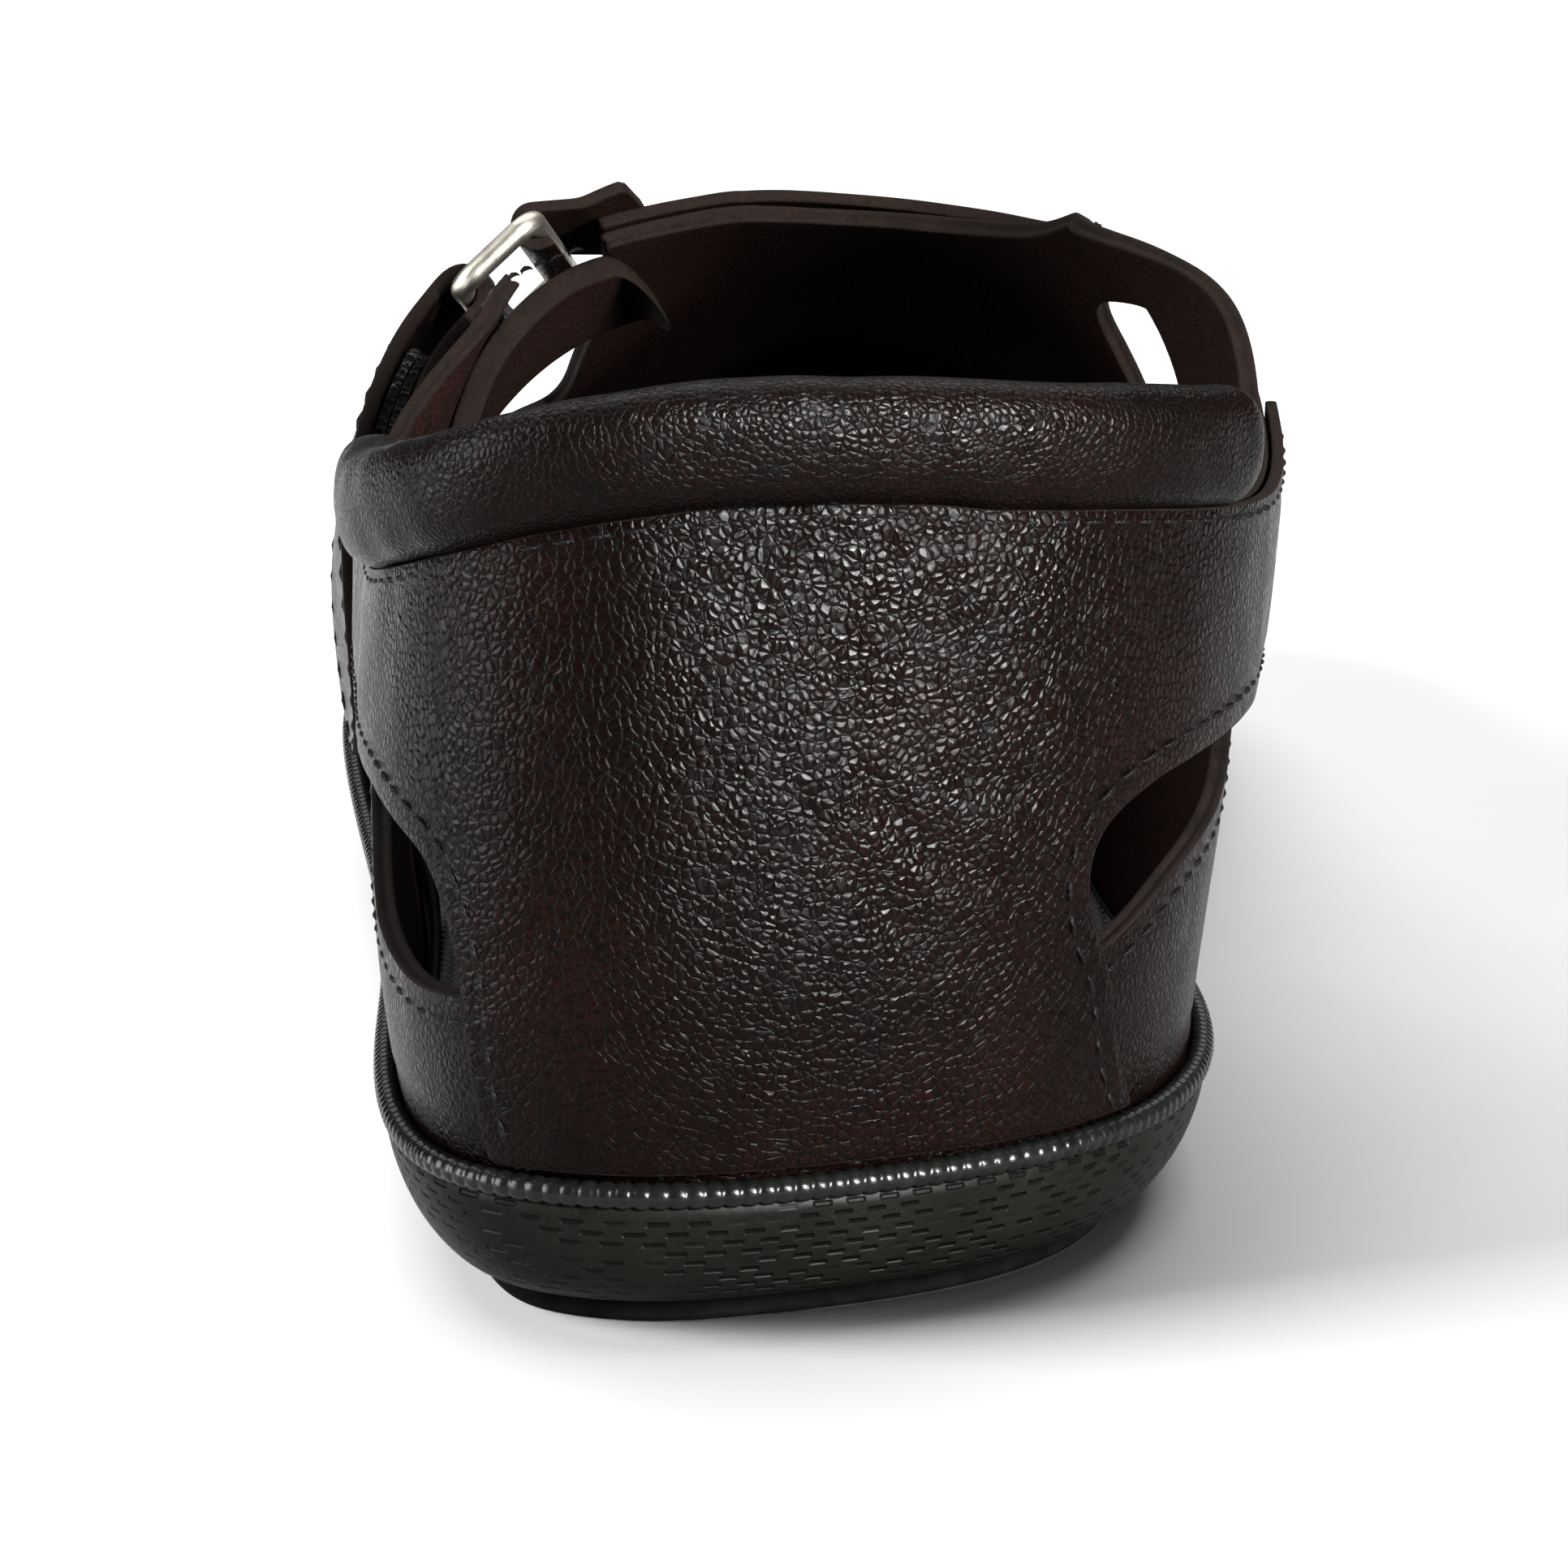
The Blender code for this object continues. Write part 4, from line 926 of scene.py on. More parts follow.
@dataclass(frozen=True)
class Finish:
    """A surface finish.

    Args:
        name: material name.
        dark: darker colour; where a finish's colour follows its bump, it goes in the hollows as painted
            shade.
        light: colour on the high spots.
        rough: roughness.
        gloss: strength of its mirror reflection; 0.5 is plain.
    """

    name: str
    dark: Colour
    light: Colour
    rough: float = 0.5
    gloss: float = 0.12

    def material(self) -> bpy.types.Material:
        """The material, made once."""
        found = bpy.data.materials.get(self.name)
        if found is not None:
            return found
        graph = Graph(self.name)
        graph.give(Specular_IOR_Level=self.gloss)
        self.paint(graph)
        return graph.made

    def tones(self, graph: Graph, value: Socket, low: float, high: float) -> Socket:
        """Colour from dark to light as a value goes from low to high."""
        return graph.ramp(value, [(low, self.dark), (high, self.light)])

    def paint(self, graph: Graph) -> None:
        """Fills the node tree: mottled colour, roughness and a fine bump."""
        graph.give(Base_Color=self.tones(graph, graph.noise(420.0, 4.0), 0.3, 0.7), Roughness=self.rough,
                   Normal=graph.bump(graph.noise(1600.0, 4.0), 0.00008, 0.6))


@dataclass(frozen=True)
class Leather(Finish):
    """Pebbled leather with a soft gloss.

    Args:
        cells: pebbles a metre.
        depth: height of a pebble in metres.
        tint: colour of the redder clouds.
        warp: how far noise shifts the pebbles, in metres.
        warp_waves: waves of that noise a metre.
        wide: cells of the wider creases for each pebble.
        round_off: power that rounds a pebble's top.
        clouds: waves of the redder clouds a metre.
        swell: waves a metre of the noise that makes pebbles higher or lower.
    """

    cells: float = 1000.0
    depth: float = 0.00018
    tint: Colour = (0.040, 0.017, 0.012)
    warp: float = 0.0009
    warp_waves: float = 380.0
    wide: float = 0.42
    round_off: float = 0.62
    clouds: float = 38.0
    swell: float = 300.0

    def paint(self, graph: Graph) -> None:
        """Pebbles between creases, with painted shade in the creases, red-brown clouds, and roughness that
        follows the pebbles.
        """
        place = graph.warped(self.warp, self.warp_waves)
        edge, wide = (graph.node("ShaderNodeTexVoronoi", {"Vector": place, "Scale": self.cells * share},
                                 feature="DISTANCE_TO_EDGE").outputs["Distance"]
                      for share in (1.0, self.wide))
        pebble = graph.math("POWER", graph.span(edge, 0.0, 0.42), self.round_off)
        height = graph.blend(pebble, 0.80, graph.span(wide, 0.0, 0.10), 0.20)
        level = graph.times(height, graph.span(graph.noise(self.swell, 2.0), 0.35, 0.65, 0.70, 1.0))
        tone = graph.ramp(graph.noise(self.clouds, 3.0), [(0.38, self.light), (0.66, self.tint)])
        rough = graph.add(graph.span(level, 0.2, 0.9, self.rough + 0.16, self.rough),
                          graph.span(graph.noise(120.0), 0.3, 0.7, -0.03, 0.05))
        fine = graph.bump(graph.noise(2600.0, 3.0), 0.00003, 0.35)
        # The creases take the dark colour and the pebbles' tops the clouds: the dark creases are painted
        # shade.
        graph.give(Base_Color=graph.mixed(graph.span(height, 0.2, 0.8), (*self.dark, 1.0), tone),
                   Roughness=rough, Normal=graph.bump(level, self.depth, 1.0, fine))


@dataclass(frozen=True)
class CutEdge(Finish):
    """Raw cut edge: fibres in noise, waxed here and there."""

    def paint(self, graph: Graph) -> None:
        """Brown fibres from fine noise over a mottled ground."""
        fibre = graph.noise(2200.0, 5.0, 0.7)
        patch = graph.noise(300.0, 2.0)
        # Colour is partly the fibre noise that also makes the bump, darker in the low fibres as painted
        # shade, and partly a random mottle.
        graph.give(Base_Color=self.tones(graph, graph.blend(fibre, 0.6, patch, 0.4), 0.34, 0.66),
                   Roughness=graph.span(patch, 0.3, 0.7, self.rough, self.rough + 0.2),
                   Normal=graph.bump(fibre, 0.00018, 0.8))


@dataclass(frozen=True)
class Twist(Finish):
    """Waxed thread: slanted strands."""

    def paint(self, graph: Graph) -> None:
        """Bands a third of a millimetre wide across the object's three axes."""
        wave = graph.node("ShaderNodeTexWave", {"Vector": graph.place, "Scale": 900.0, "Distortion": 1.0},
                          bands_direction="DIAGONAL").outputs["Fac"]
        # The bands' colour follows their height, darker in the grooves between strands: painted shade.
        graph.give(Base_Color=self.tones(graph, wave, 0.2, 0.8), Roughness=self.rough,
                   Normal=graph.bump(wave, 0.00008, 0.7))


@dataclass(frozen=True)
class Dashes(Finish):
    """Moulded sole side with staggered rows of short sunk dashes.

    Args:
        pitch: length of a dash and its gap in millimetres.
        row: distance between rows in millimetres.
        depth: how deep a dash is sunk, in metres.
        hollow: a dash's colour as a share of the dark one; the sunk dash is painted darker, as shade.
    """

    pitch: float = 3.0
    row: float = 1.05
    depth: float = 0.00030
    hollow: float = 0.35

    def paint(self, graph: Graph) -> None:
        """Bricks of the piece's own millimetre map: their joints' ends are left, as short dashes."""
        uv = graph.node("ShaderNodeUVMap", uv_map="UVMap").outputs["UV"]
        split = graph.node("ShaderNodeSeparateXYZ", {"Vector": uv})
        across = graph.math("DIVIDE", split.outputs["Y"], self.row)
        number = graph.math("FLOOR", across)
        shift = graph.times(graph.math("MODULO", number, 2.0), self.pitch / 2)
        jitter = graph.node("ShaderNodeTexWhiteNoise", {"W": number}, noise_dimensions="1D").outputs["Value"]
        start = graph.add(graph.add(split.outputs["X"], shift), graph.times(jitter, 0.5))
        along = graph.math("DIVIDE", start, self.pitch)
        u, w = (graph.math("ABSOLUTE", graph.math("SUBTRACT", graph.math("FRACT", value), 0.5))
                for value in (along, across))
        cell = graph.node("ShaderNodeCombineXYZ", {0: graph.math("FLOOR", along), 1: number}).outputs[0]
        kept = graph.node("ShaderNodeTexWhiteNoise", {"Vector": cell}).outputs["Value"]
        dash = graph.times(graph.times(graph.span(u, 0.30, 0.22), graph.span(w, 0.30, 0.12)),
                           graph.span(kept, 0.15, 0.45))
        grain = graph.noise(1500.0, 3.0)
        tone = self.tones(graph, graph.blend(graph.noise(90.0), 0.7, grain, 0.3), 0.3, 0.7)
        # Sunk dashes painted darker than the sole around them: painted shade in their hollows.
        sunk = (*(self.hollow * value for value in self.dark), 1.0)
        fine = graph.bump(grain, 0.00004, 0.7)
        graph.give(Base_Color=graph.mixed(graph.times(dash, 0.8), tone, sunk),
                   Roughness=graph.span(grain, 0.3, 0.7, self.rough, self.rough + 0.12),
                   Normal=graph.bump(graph.math("SUBTRACT", 1.0, dash), self.depth, 0.9, fine))


@dataclass(frozen=True)
class Woven(Finish):
    """Woven cloth: threads over and under each other.

    Args:
        threads: threads a metre.
        depth: how high a thread stands, in metres.
    """

    threads: float = 950.0
    depth: float = 0.0003

    def paint(self, graph: Graph) -> None:
        """Two crossed sine waves, each on top in every other square."""
        split = graph.node("ShaderNodeSeparateXYZ", {"Vector": graph.place})
        x, y = (graph.times(split.outputs[axis], self.threads) for axis in ("X", "Y"))
        warp, weft = (graph.math("ABSOLUTE", graph.math("SINE", graph.times(value, np.pi)))
                      for value in (x, y))
        odd = graph.math("MODULO", graph.add(graph.math("FLOOR", x), graph.math("FLOOR", y)), 2.0)
        over = graph.math("ABSOLUTE", odd)
        height = graph.node("ShaderNodeMix", {"Factor": over, 2: warp, 3: weft}).outputs[0]
        # Colour follows the threads' height, darker where a thread dips under the other: painted shade
        # between the threads, over a random mottle.
        tone = graph.blend(height, 0.6, graph.noise(700.0, 4.0), 0.5)
        graph.give(Base_Color=self.tones(graph, tone, 0.25, 0.85), Roughness=self.rough,
                   Normal=graph.bump(height, self.depth, 0.8))


@dataclass(frozen=True)
class Fuzz(Finish):
    """Hook-and-loop tape: a dense dark pile."""

    def paint(self, graph: Graph) -> None:
        """Small cells with deep gaps between them, painted dark in the gaps as shade."""
        cell = graph.node("ShaderNodeTexVoronoi", {"Vector": graph.warped(0.0006, 900.0), "Scale": 1500.0})
        height = graph.span(cell.outputs["Distance"], 0.6, 0.05)
        # Colour follows the same height as the bump: the gaps are painted dark, as shade.
        graph.give(Base_Color=self.tones(graph, height, 0.1, 0.9), Roughness=self.rough, Sheen_Weight=0.2,
                   Normal=graph.bump(height, 0.0005, 1.0))


@dataclass(frozen=True)
class OldSilver(Finish):
    """Antique silver plate: bright where rubbed, dark in the pits."""

    def paint(self, graph: Graph) -> None:
        """Clouds of tarnish, fine scratches and pits."""
        scratch = graph.noise(3000.0, 3.0, 0.7)
        tone = graph.blend(graph.noise(160.0, 4.0), 0.7, scratch, 0.3)
        graph.give(Base_Color=self.tones(graph, tone, 0.36, 0.58), Metallic=1.0,
                   Roughness=graph.span(tone, 0.3, 0.7, self.rough + 0.22, self.rough),
                   Normal=graph.bump(scratch, 0.00005, 0.5))


LEATHER = Leather("leather_outer", dark=(0.0005, 0.0003, 0.0002), light=(0.0014, 0.0006, 0.0004), rough=0.20,
                  gloss=0.046, cells=1120.0, depth=0.00014, tint=(0.0034, 0.0011, 0.0007))
COLLAR_LEATHER = Leather("leather_collar", dark=(0.0005, 0.0004, 0.0003), light=(0.0015, 0.0008, 0.0006),
                         rough=0.22, gloss=0.048, cells=1350.0, depth=0.00011, tint=(0.0030, 0.0011, 0.0008))
# The lining's brown is made darker still to stand in for the shade inside the shoe: partly its own colour
# and partly painted shade.
INNER = Leather("leather_lining", dark=(0.0020, 0.0010, 0.0008), light=(0.0062, 0.0027, 0.0020), rough=0.62,
                gloss=0.03, cells=1500.0, depth=0.00008, tint=(0.0094, 0.0038, 0.0027))
EDGE = CutEdge("cut_edge", dark=(0.0014, 0.0009, 0.0007), light=(0.0070, 0.0040, 0.0030),
               rough=0.68, gloss=0.05)
THREAD = Twist("thread", dark=(0.0008, 0.0007, 0.0007), light=(0.0026, 0.0022, 0.0020),
               rough=0.55, gloss=0.08)
SOLE_SIDE = Dashes("sole_side", dark=(0.0016, 0.0019, 0.0014), light=(0.0038, 0.0044, 0.0033), rough=0.38,
                   gloss=0.045)
BEAD = Finish("sole_bead", dark=(0.0016, 0.0018, 0.0016), light=(0.0040, 0.0044, 0.0038),
              rough=0.25, gloss=0.16)
# The tread's black is made darker still to stand in for the shade where the sole meets the floor: partly its
# own colour and partly painted shade.
TREAD = Finish("tread_rubber", dark=(0.0010, 0.0010, 0.0010), light=(0.0026, 0.0026, 0.0026),
               rough=0.72, gloss=0.02)
FOOTBED = Woven("footbed", dark=(0.0080, 0.0080, 0.0085), light=(0.0500, 0.0494, 0.0500),
                rough=0.88)
FOOTBED_SIDE = Finish("footbed_side", dark=(0.0060, 0.0055, 0.0050), light=(0.0140, 0.0128, 0.0118),
                      rough=0.85)
PILE = Fuzz("hook_tape", dark=(0.0015, 0.0014, 0.0014), light=(0.0080, 0.0072, 0.0068),
            rough=0.9)
SILVER = OldSilver("old_silver", dark=(0.110, 0.095, 0.075), light=(0.520, 0.490, 0.420), rough=0.26)
SHEET = [LEATHER, INNER, EDGE]


# Pieces of the shoe


@dataclass
class Crease:
    """Soft fold in a sheet, placed on the chart.

    Args:
        station: middle's station.
        v: middle's v.
        half: half its length in millimetres.
        turn: angle to the station axis in degrees.
        depth: depth in millimetres.
        width: half its width in millimetres.
    """

    station: float
    v: float
    half: float
    turn: float
    depth: float
    width: float

    def dip(self, station: Array, v: Array) -> Array:
        """Depth in metres: a Gauss bell across, with a small ridge on both sides, and one along."""
        x, y = (station - self.station) * CHART[0], (v - self.v) * CHART[1]
        angle = np.radians(self.turn)
        along = x * np.cos(angle) + y * np.sin(angle)
        across = (y * np.cos(angle) - x * np.sin(angle) - 0.012 * along**2) / self.width
        bell = (1 - 0.7 * across**2) * np.exp(-across**2 / 2)
        return self.depth * 0.001 * bell * np.exp(-(along / self.half)**2)


def relief(points: Array, station: Array, v: Array, depth: float, seed: int,
           creases: tuple[Crease, ...] = ()) -> Array:
    """Height over a sheet's plain face: soft waves of two sizes less the creases."""
    height = depth * (soft_noise(points, 0.030, seed) + 0.5 * soft_noise(points, 0.011, seed + 1))
    for crease in creases:
        height = height - crease.dip(station, v)
    return height


def edge_dip(region: Region, station: Array, v: Array, inset: float) -> Array:
    """Depth of the groove that a stitch row pulls, and of the edge's own rolling off, in metres.

    The groove is a Gauss bell round the row, and the rolling off fades with the gap to the edge.
    """
    places = np.stack((station, v), 1) * CHART
    edge = np.concatenate([loop * CHART for loop in (region.outline, *region.holes)])
    gap = np.zeros(len(places))
    for start in range(0, len(places), CHUNK):
        part = places[start:start + CHUNK]
        gap[start:start + CHUNK] = np.sqrt(((part[:, None] - edge)**2).sum(-1).min(1))
    groove = GROOVE[0] * np.exp(-((gap - inset * 1000) / GROOVE[1])**2)
    return groove + ROLL_OFF[0] * np.exp(-gap / ROLL_OFF[1])


def stitched(name: str, rows: list[tuple[Array, Array]]) -> None:
    """One piece of thread from several rows of places and normals."""
    stitch = Stitch()
    shell = stitch.row(*rows[0])
    for path, normals in rows[1:]:
        shell = shell.joined(stitch.row(path, normals))
    shell.piece(name, [THREAD], Slot.LEATHER)


@dataclass
class Upper:
    """Hollow upper: low walls, side bands and closed vamp, with its windows and front gaps.

    Args:
        spacing: distance between the mesh's points.
        wave: height of the leather's soft waves.
        bulge: how far its cut edges are rolled out.
        inset: distance from the stitches to the edge.
        throat: station where the collar's seam ends and the throat begins.
        creases: its soft folds.
    """

    spacing: float = 0.0015
    wave: float = 0.00010
    bulge: float = 0.00030
    inset: float = 0.0023
    throat: float = 7.2
    creases: tuple[Crease, ...] = (
        Crease(-13.3, 0.80, 10, 75, 0.25, 2.2), Crease(13.5, 0.84, 9, -75, 0.22, 2.0),
        Crease(-12.6, 0.45, 12, 70, 0.20, 2.4), Crease(12.2, 0.42, 12, -70, 0.20, 2.4),
    )

    def window(self, side: Side) -> Array:
        """Loop of a side window: under the heel piece's edge and over the low wall."""
        heel_edge, low_edge = ((HEEL_EDGE_LATERAL, LOW_EDGE_LATERAL) if side is Side.LATERAL
                               else (HEEL_EDGE_MEDIAL, LOW_EDGE_MEDIAL))
        count, stations_a_v = 480, 20
        fine = line(heel_edge, np.linspace(0, 1, count))
        low = line(low_edge, np.linspace(0, 1, 70))
        start, end = (np.argmin(np.hypot(fine[:, 0] - low[k, 0], (fine[:, 1] - low[k, 1]) * stations_a_v))
                      for k in (0, -1))
        top = line(heel_edge, np.linspace(start, end, 80) / (count - 1))
        return np.concatenate((top, low[::-1][1:-1])) * (side.value, 1)

    def gap(self, side: Side) -> Array:
        """Loop of a front gap."""
        table = GAP_LATERAL if side is Side.LATERAL else GAP_MEDIAL
        return line_loop(table, 7) * (side.value, 1)

    def outline(self) -> Array:
        """Feather line, toe, ridge, throat and seam, as one loop."""
        tip = LAST.ends
        feather = np.linspace((-tip, 0.0), (tip, 0.0), 448)
        toe = np.linspace((tip, 0.0), (tip, 1.0), 47)[1:]
        ridge = np.linspace((tip, 1.0), (THROAT_MEDIAL[-1][0], 1.0), 93)[1:]
        medial = line(THROAT_MEDIAL, np.linspace(1, 0, 90))[1:]
        medial[:, 1] = np.minimum(medial[:, 1], 1)
        back = np.linspace(self.throat, -self.throat, 170)[1:]
        seam = np.stack((back, seam_v(back)), 1)
        lateral = line(THROAT_LATERAL, np.linspace(0, 1, 90))[1:] * (-1, 1)
        lateral[:, 1] = np.minimum(lateral[:, 1], 1)
        return np.concatenate((feather, toe, ridge, medial, seam, lateral, ridge[::-1][1:] * (-1, 1),
                               np.array(((-tip, 1.0),)), toe[::-1][1:] * (-1, 1)))

    def build(self) -> None:
        """Sheet of two layers, with stitches beside its open edges."""
        holes = [self.window(side) for side in Side] + [self.gap(side) for side in Side]
        region = Region(self.outline(), holes, self.spacing)
        station, v, faces = region.mesh()
        points = LAST.at(station, v)
        outside = (relief(points, station, v, self.wave, 3, self.creases)
                   - edge_dip(region, station, v, self.inset) * (v > 0.03))
        points, normals, faces, kept = weld(points, LAST.normal(station, v), faces)
        shell = rimmed(points, normals, faces, outside[kept], -WALL, self.bulge, layers=2)
        shell.piece("upper_leather", SHEET, Slot.LEATHER, ("upper",))
        rows = []
        for side, low, throat in ((Side.LATERAL, LOW_EDGE_LATERAL, THROAT_LATERAL),
                                  (Side.MEDIAL, LOW_EDGE_MEDIAL, THROAT_MEDIAL)):
            mirror, inset = (side.value, 1), -side.value * self.inset
            edge = line(low, np.linspace(0.02, 0.97, 90)) * mirror
            top = line(throat, np.linspace(0.04, 0.62 if side is Side.LATERAL else 0.70, 90)) * mirror
            gap = self.gap(side)
            front = gap[34:120] if side is Side.LATERAL else np.concatenate((gap, gap[:2]))
            rows += [beside(path, inset, -THREAD_SINK) for path in (edge, top, front)]
        stitched("upper_stitches", rows)


@dataclass
class HeelPiece:
    """Overlay round the heel, narrow at the sole and wide at the collar.

    Args:
        spacing: distance between the mesh's points.
        wave: height of the leather's soft waves.
        bulge: how far its cut edges are rolled out.
        reach: station where it ends in front.
        inset: distance from the stitches to the edge.
        seam_inset: distance from the upper row to the collar's seam.
        seam_reach: station where that row ends in front.
        creases: its soft folds.
    """

    spacing: float = 0.0012
    wave: float = 0.00013
    bulge: float = 0.00022
    reach: float = 7.1
    inset: float = 0.0024
    seam_inset: float = 0.0010
    seam_reach: float = 6.9
    creases: tuple[Crease, ...] = (
        Crease(1.55, 0.405, 9, -28, 0.26, 1.5), Crease(1.95, 0.345, 8, -20, 0.24, 1.3),
        Crease(1.20, 0.330, 12, -34, 0.16, 1.8), Crease(2.45, 0.300, 6, -48, 0.22, 1.2),
        Crease(2.30, 0.430, 8, -15, 0.20, 1.5), Crease(-0.90, 0.470, 14, 18, 0.12, 2.4),
        Crease(-1.60, 0.300, 12, 30, 0.12, 2.2), Crease(3.30, 0.480, 9, -30, 0.18, 1.8),
    )

    def edge(self, side: Side) -> Array:
        """Lower edge on one side, from the sole up and forward."""
        fine = line(HEEL_EDGE_LATERAL if side is Side.LATERAL else HEEL_EDGE_MEDIAL, np.linspace(0, 1, 260))
        fine = fine[(fine[:, 1] > HEEL_PIECE_FOOT) & (fine[:, 0] < self.reach)]
        return fine * (side.value, 1)

    def outline(self) -> Array:
        """Sole edge, medial edge, seam and lateral edge, as one loop."""
        lateral, medial = self.edge(Side.LATERAL), self.edge(Side.MEDIAL)
        foot = np.linspace(lateral[0, 0], medial[0, 0], 90)[1:-1]
        back = np.linspace(self.reach, -self.reach, 230)
        return np.concatenate((np.stack((foot, np.full(88, HEEL_PIECE_FOOT)), 1), medial,
                               self.end(medial[-1, 1], 1)[1:], np.stack((back, seam_v(back)), 1)[1:],
                               self.end(lateral[-1, 1], -1)[::-1][1:], lateral[::-1][1:]))

    def end(self, low: float, sign: int) -> Array:
        """Front end of the overlay from its lower edge up to the seam."""
        station = self.reach * sign
        return np.linspace((station, low), (station, float(seam_v(np.array(station)))), 16)

    def build(self) -> None:
        """Sheet of one layer with stitch rows beside both edges and under the collar."""
        region = Region(self.outline(), [], self.spacing)
        station, v, faces = region.mesh()
        points, normals = LAST.at(station, v), LAST.normal(station, v)
        outside = (GAP + OVERLAY + relief(points, station, v, self.wave, 11, self.creases)
                   - edge_dip(region, station, v, self.inset))
        shell = rimmed(points, normals, faces, outside, GAP, self.bulge)
        shell.piece("heel_leather", SHEET, Slot.LEATHER, ("heel_piece",))
        height = GAP + OVERLAY - THREAD_SINK
        rows = [beside(self.edge(side)[2:], side.value * self.inset, height) for side in Side]
        back = np.linspace(-self.seam_reach, self.seam_reach, 260)
        rows.append(beside(np.stack((back, seam_v(back)), 1), -self.seam_inset, height))
        stitched("heel_stitches", rows)


@dataclass
class Collar:
    """Padded roll round the ankle: foam under thin leather, drawn in at its seam.

    Args:
        around: points round the roll.
        along: rings along it.
        power: power of the sine and cosine in its section; 1 is an ellipse.
        end_radius: length over which an end is rounded.
        end_power: power of that rounding; 2 is an ellipse.
        puckers: lengths of the two waves of puckers.
        pucker_depth: their height as a share of the section's.
    """

    around: int = 48
    along: int = 400
    power: float = 0.78
    end_radius: float = 0.0065
    end_power: float = 2.2
    puckers: tuple[float, float] = (0.0068, 0.0091)
    pucker_depth: float = 0.010

    def build(self) -> None:
        """Roll of a flattened round section, with puckers at its seam and rounded ends.

        A point lies at powers of cosine and sine times half the thickness and height; the seam's
        puckers are sine waves 7 to 9 mm long that fade up the side.
        """
        station = np.linspace(*COLLAR_ENDS, self.along)
        seam = LAST.at(station, seam_v(station))
        out = LAST.outward(LAST.knot(station))
        centre = seam + out * ((GAP + OVERLAY - WALL) / 2 + COLLAR_LEAN)
        centre[:, 2] += GAP + COLLAR_HEIGHT / 2
        run = run_along(centre)
        end = np.minimum(run, run[-1] - run) / self.end_radius
        shrink = np.clip(1 - np.maximum(1 - end, 0)**self.end_power, 0.004, 1)**(1 / self.end_power)
        angle = np.linspace(0, 2 * np.pi, self.around, endpoint=False)
        x = np.sign(np.cos(angle)) * np.abs(np.cos(angle))**self.power * COLLAR_THICKNESS / 2
        y = np.sign(np.sin(angle)) * np.abs(np.sin(angle))**self.power * COLLAR_HEIGHT / 2
        low = smooth(0.1, 1.0, -np.sin(angle))
        short, long = (run / length * 2 * np.pi for length in self.puckers)
        pucker = np.sin(short + 1.4 * np.sin(run / 0.031)) + 0.6 * np.sin(long + 2.0)
        grow = 1 + self.pucker_depth * pucker[:, None] * low
        rings = (centre[:, None] + out[:, None] * (x * grow)[..., None] * shrink[:, None, None]
                 + np.array((0.0, 0.0, 1.0)) * (y[None] * shrink[:, None])[..., None])
        points = rings.reshape(-1, 3)
        level = unit(points - np.repeat(centre, self.around, 0))
        height = 0.00016 * soft_noise(points, 0.022, 21) + 0.00008 * soft_noise(points, 0.009, 22)
        points = points + level * (height * np.repeat(shrink, self.around))[:, None]
        faces = grid_quads(self.along, self.around, closed=True)[:, ::-1]
        fan = np.arange(self.around)
        far = fan + (self.along - 1) * self.around
        start = np.stack((np.roll(fan, -1), fan, np.full(self.around, len(points))), 1)[:, ::-1]
        stop = np.stack((far, np.roll(far, -1), np.full(self.around, len(points) + 1)), 1)[:, ::-1]
        points = np.concatenate((points, centre[:1], centre[-1:]))
        made = Shell(points, [(faces, 0), (start, 0), (stop, 0)]).piece(
            "collar_roll", [COLLAR_LEATHER], Slot.LEATHER, ("collar",))


@dataclass
class InstepPanel:
    """Overlay across the instep, from the ring's tab to the medial band.

    Args:
        along: points across the foot.
        deep: points from its rear to its front edge.
        wave: height of the leather's soft waves.
        bulge: how far its cut edges are rolled out.
        inset: distance from the stitches to the edge.
    """

    along: int = 150
    deep: int = 44
    wave: float = 0.00008
    bulge: float = 0.00024
    inset: float = 0.0022

    def build(self) -> None:
        """Grid between the rear and the front line, with a stitch row beside each."""
        q = np.linspace(0, 1, self.along)
        rear, front = line(PANEL_REAR, q), line(PANEL_FRONT, q)
        share = np.linspace(0, 1, self.deep)[None, :, None]
        chart = rear[:, None] * (1 - share) + front[:, None] * share
        points = LAST.over(chart[..., 0], chart[..., 1]).reshape(-1, 3)
        normals = unit(LAST.over(chart[..., 0], chart[..., 1], 1.0).reshape(-1, 3) - points)
        outside = GAP + OVERLAY + self.wave * soft_noise(points, 0.018, 31)
        faces = grid_quads(self.along, self.deep)[:, ::-1]
        shell = rimmed(points, normals, faces, outside, GAP, self.bulge)
        shell.piece("instep_leather", SHEET, Slot.LEATHER, ("instep_panel",))
        rows = []
        for edge, sign in ((rear, 1), (front, -1)):
            path = LAST.over(edge[:, 0], edge[:, 1])
            up = unit(LAST.over(edge[:, 0], edge[:, 1], 1.0) - path)
            path, up = aside(path, up, sign * self.inset, GAP + OVERLAY - THREAD_SINK)
            rows.append((path[4:-3], up[4:-3]))
        stitched("instep_stitches", rows)


@dataclass
class RingPlace:
    """Where the ring lies: its middle and its long, short and lifted directions."""

    centre: Array = field(init=False)
    long: Array = field(init=False)
    short: Array = field(init=False)
    lift: Array = field(init=False)

    def __post_init__(self) -> None:
        """Reads the last at the ring's station."""
        station, v = np.array(-RING_STATION), np.array(RING_V)
        self.long = unit(LAST.at(station - 0.1, v) - LAST.at(station + 0.1, v))
        self.lift = LAST.normal(station, v)
        short = unit(np.cross(self.long, self.lift))
        self.short = short if short[0] > 0 else -short
        self.centre = LAST.off(station, v, RING_LIFT)

    def bar(self, inner_side: bool) -> Array:
        """Middle of the bar on the strap's side or on the foot's side."""
        return self.centre + self.short * (RING_REACH / 2 + RING_WIRE) * (1 if inner_side else -1)


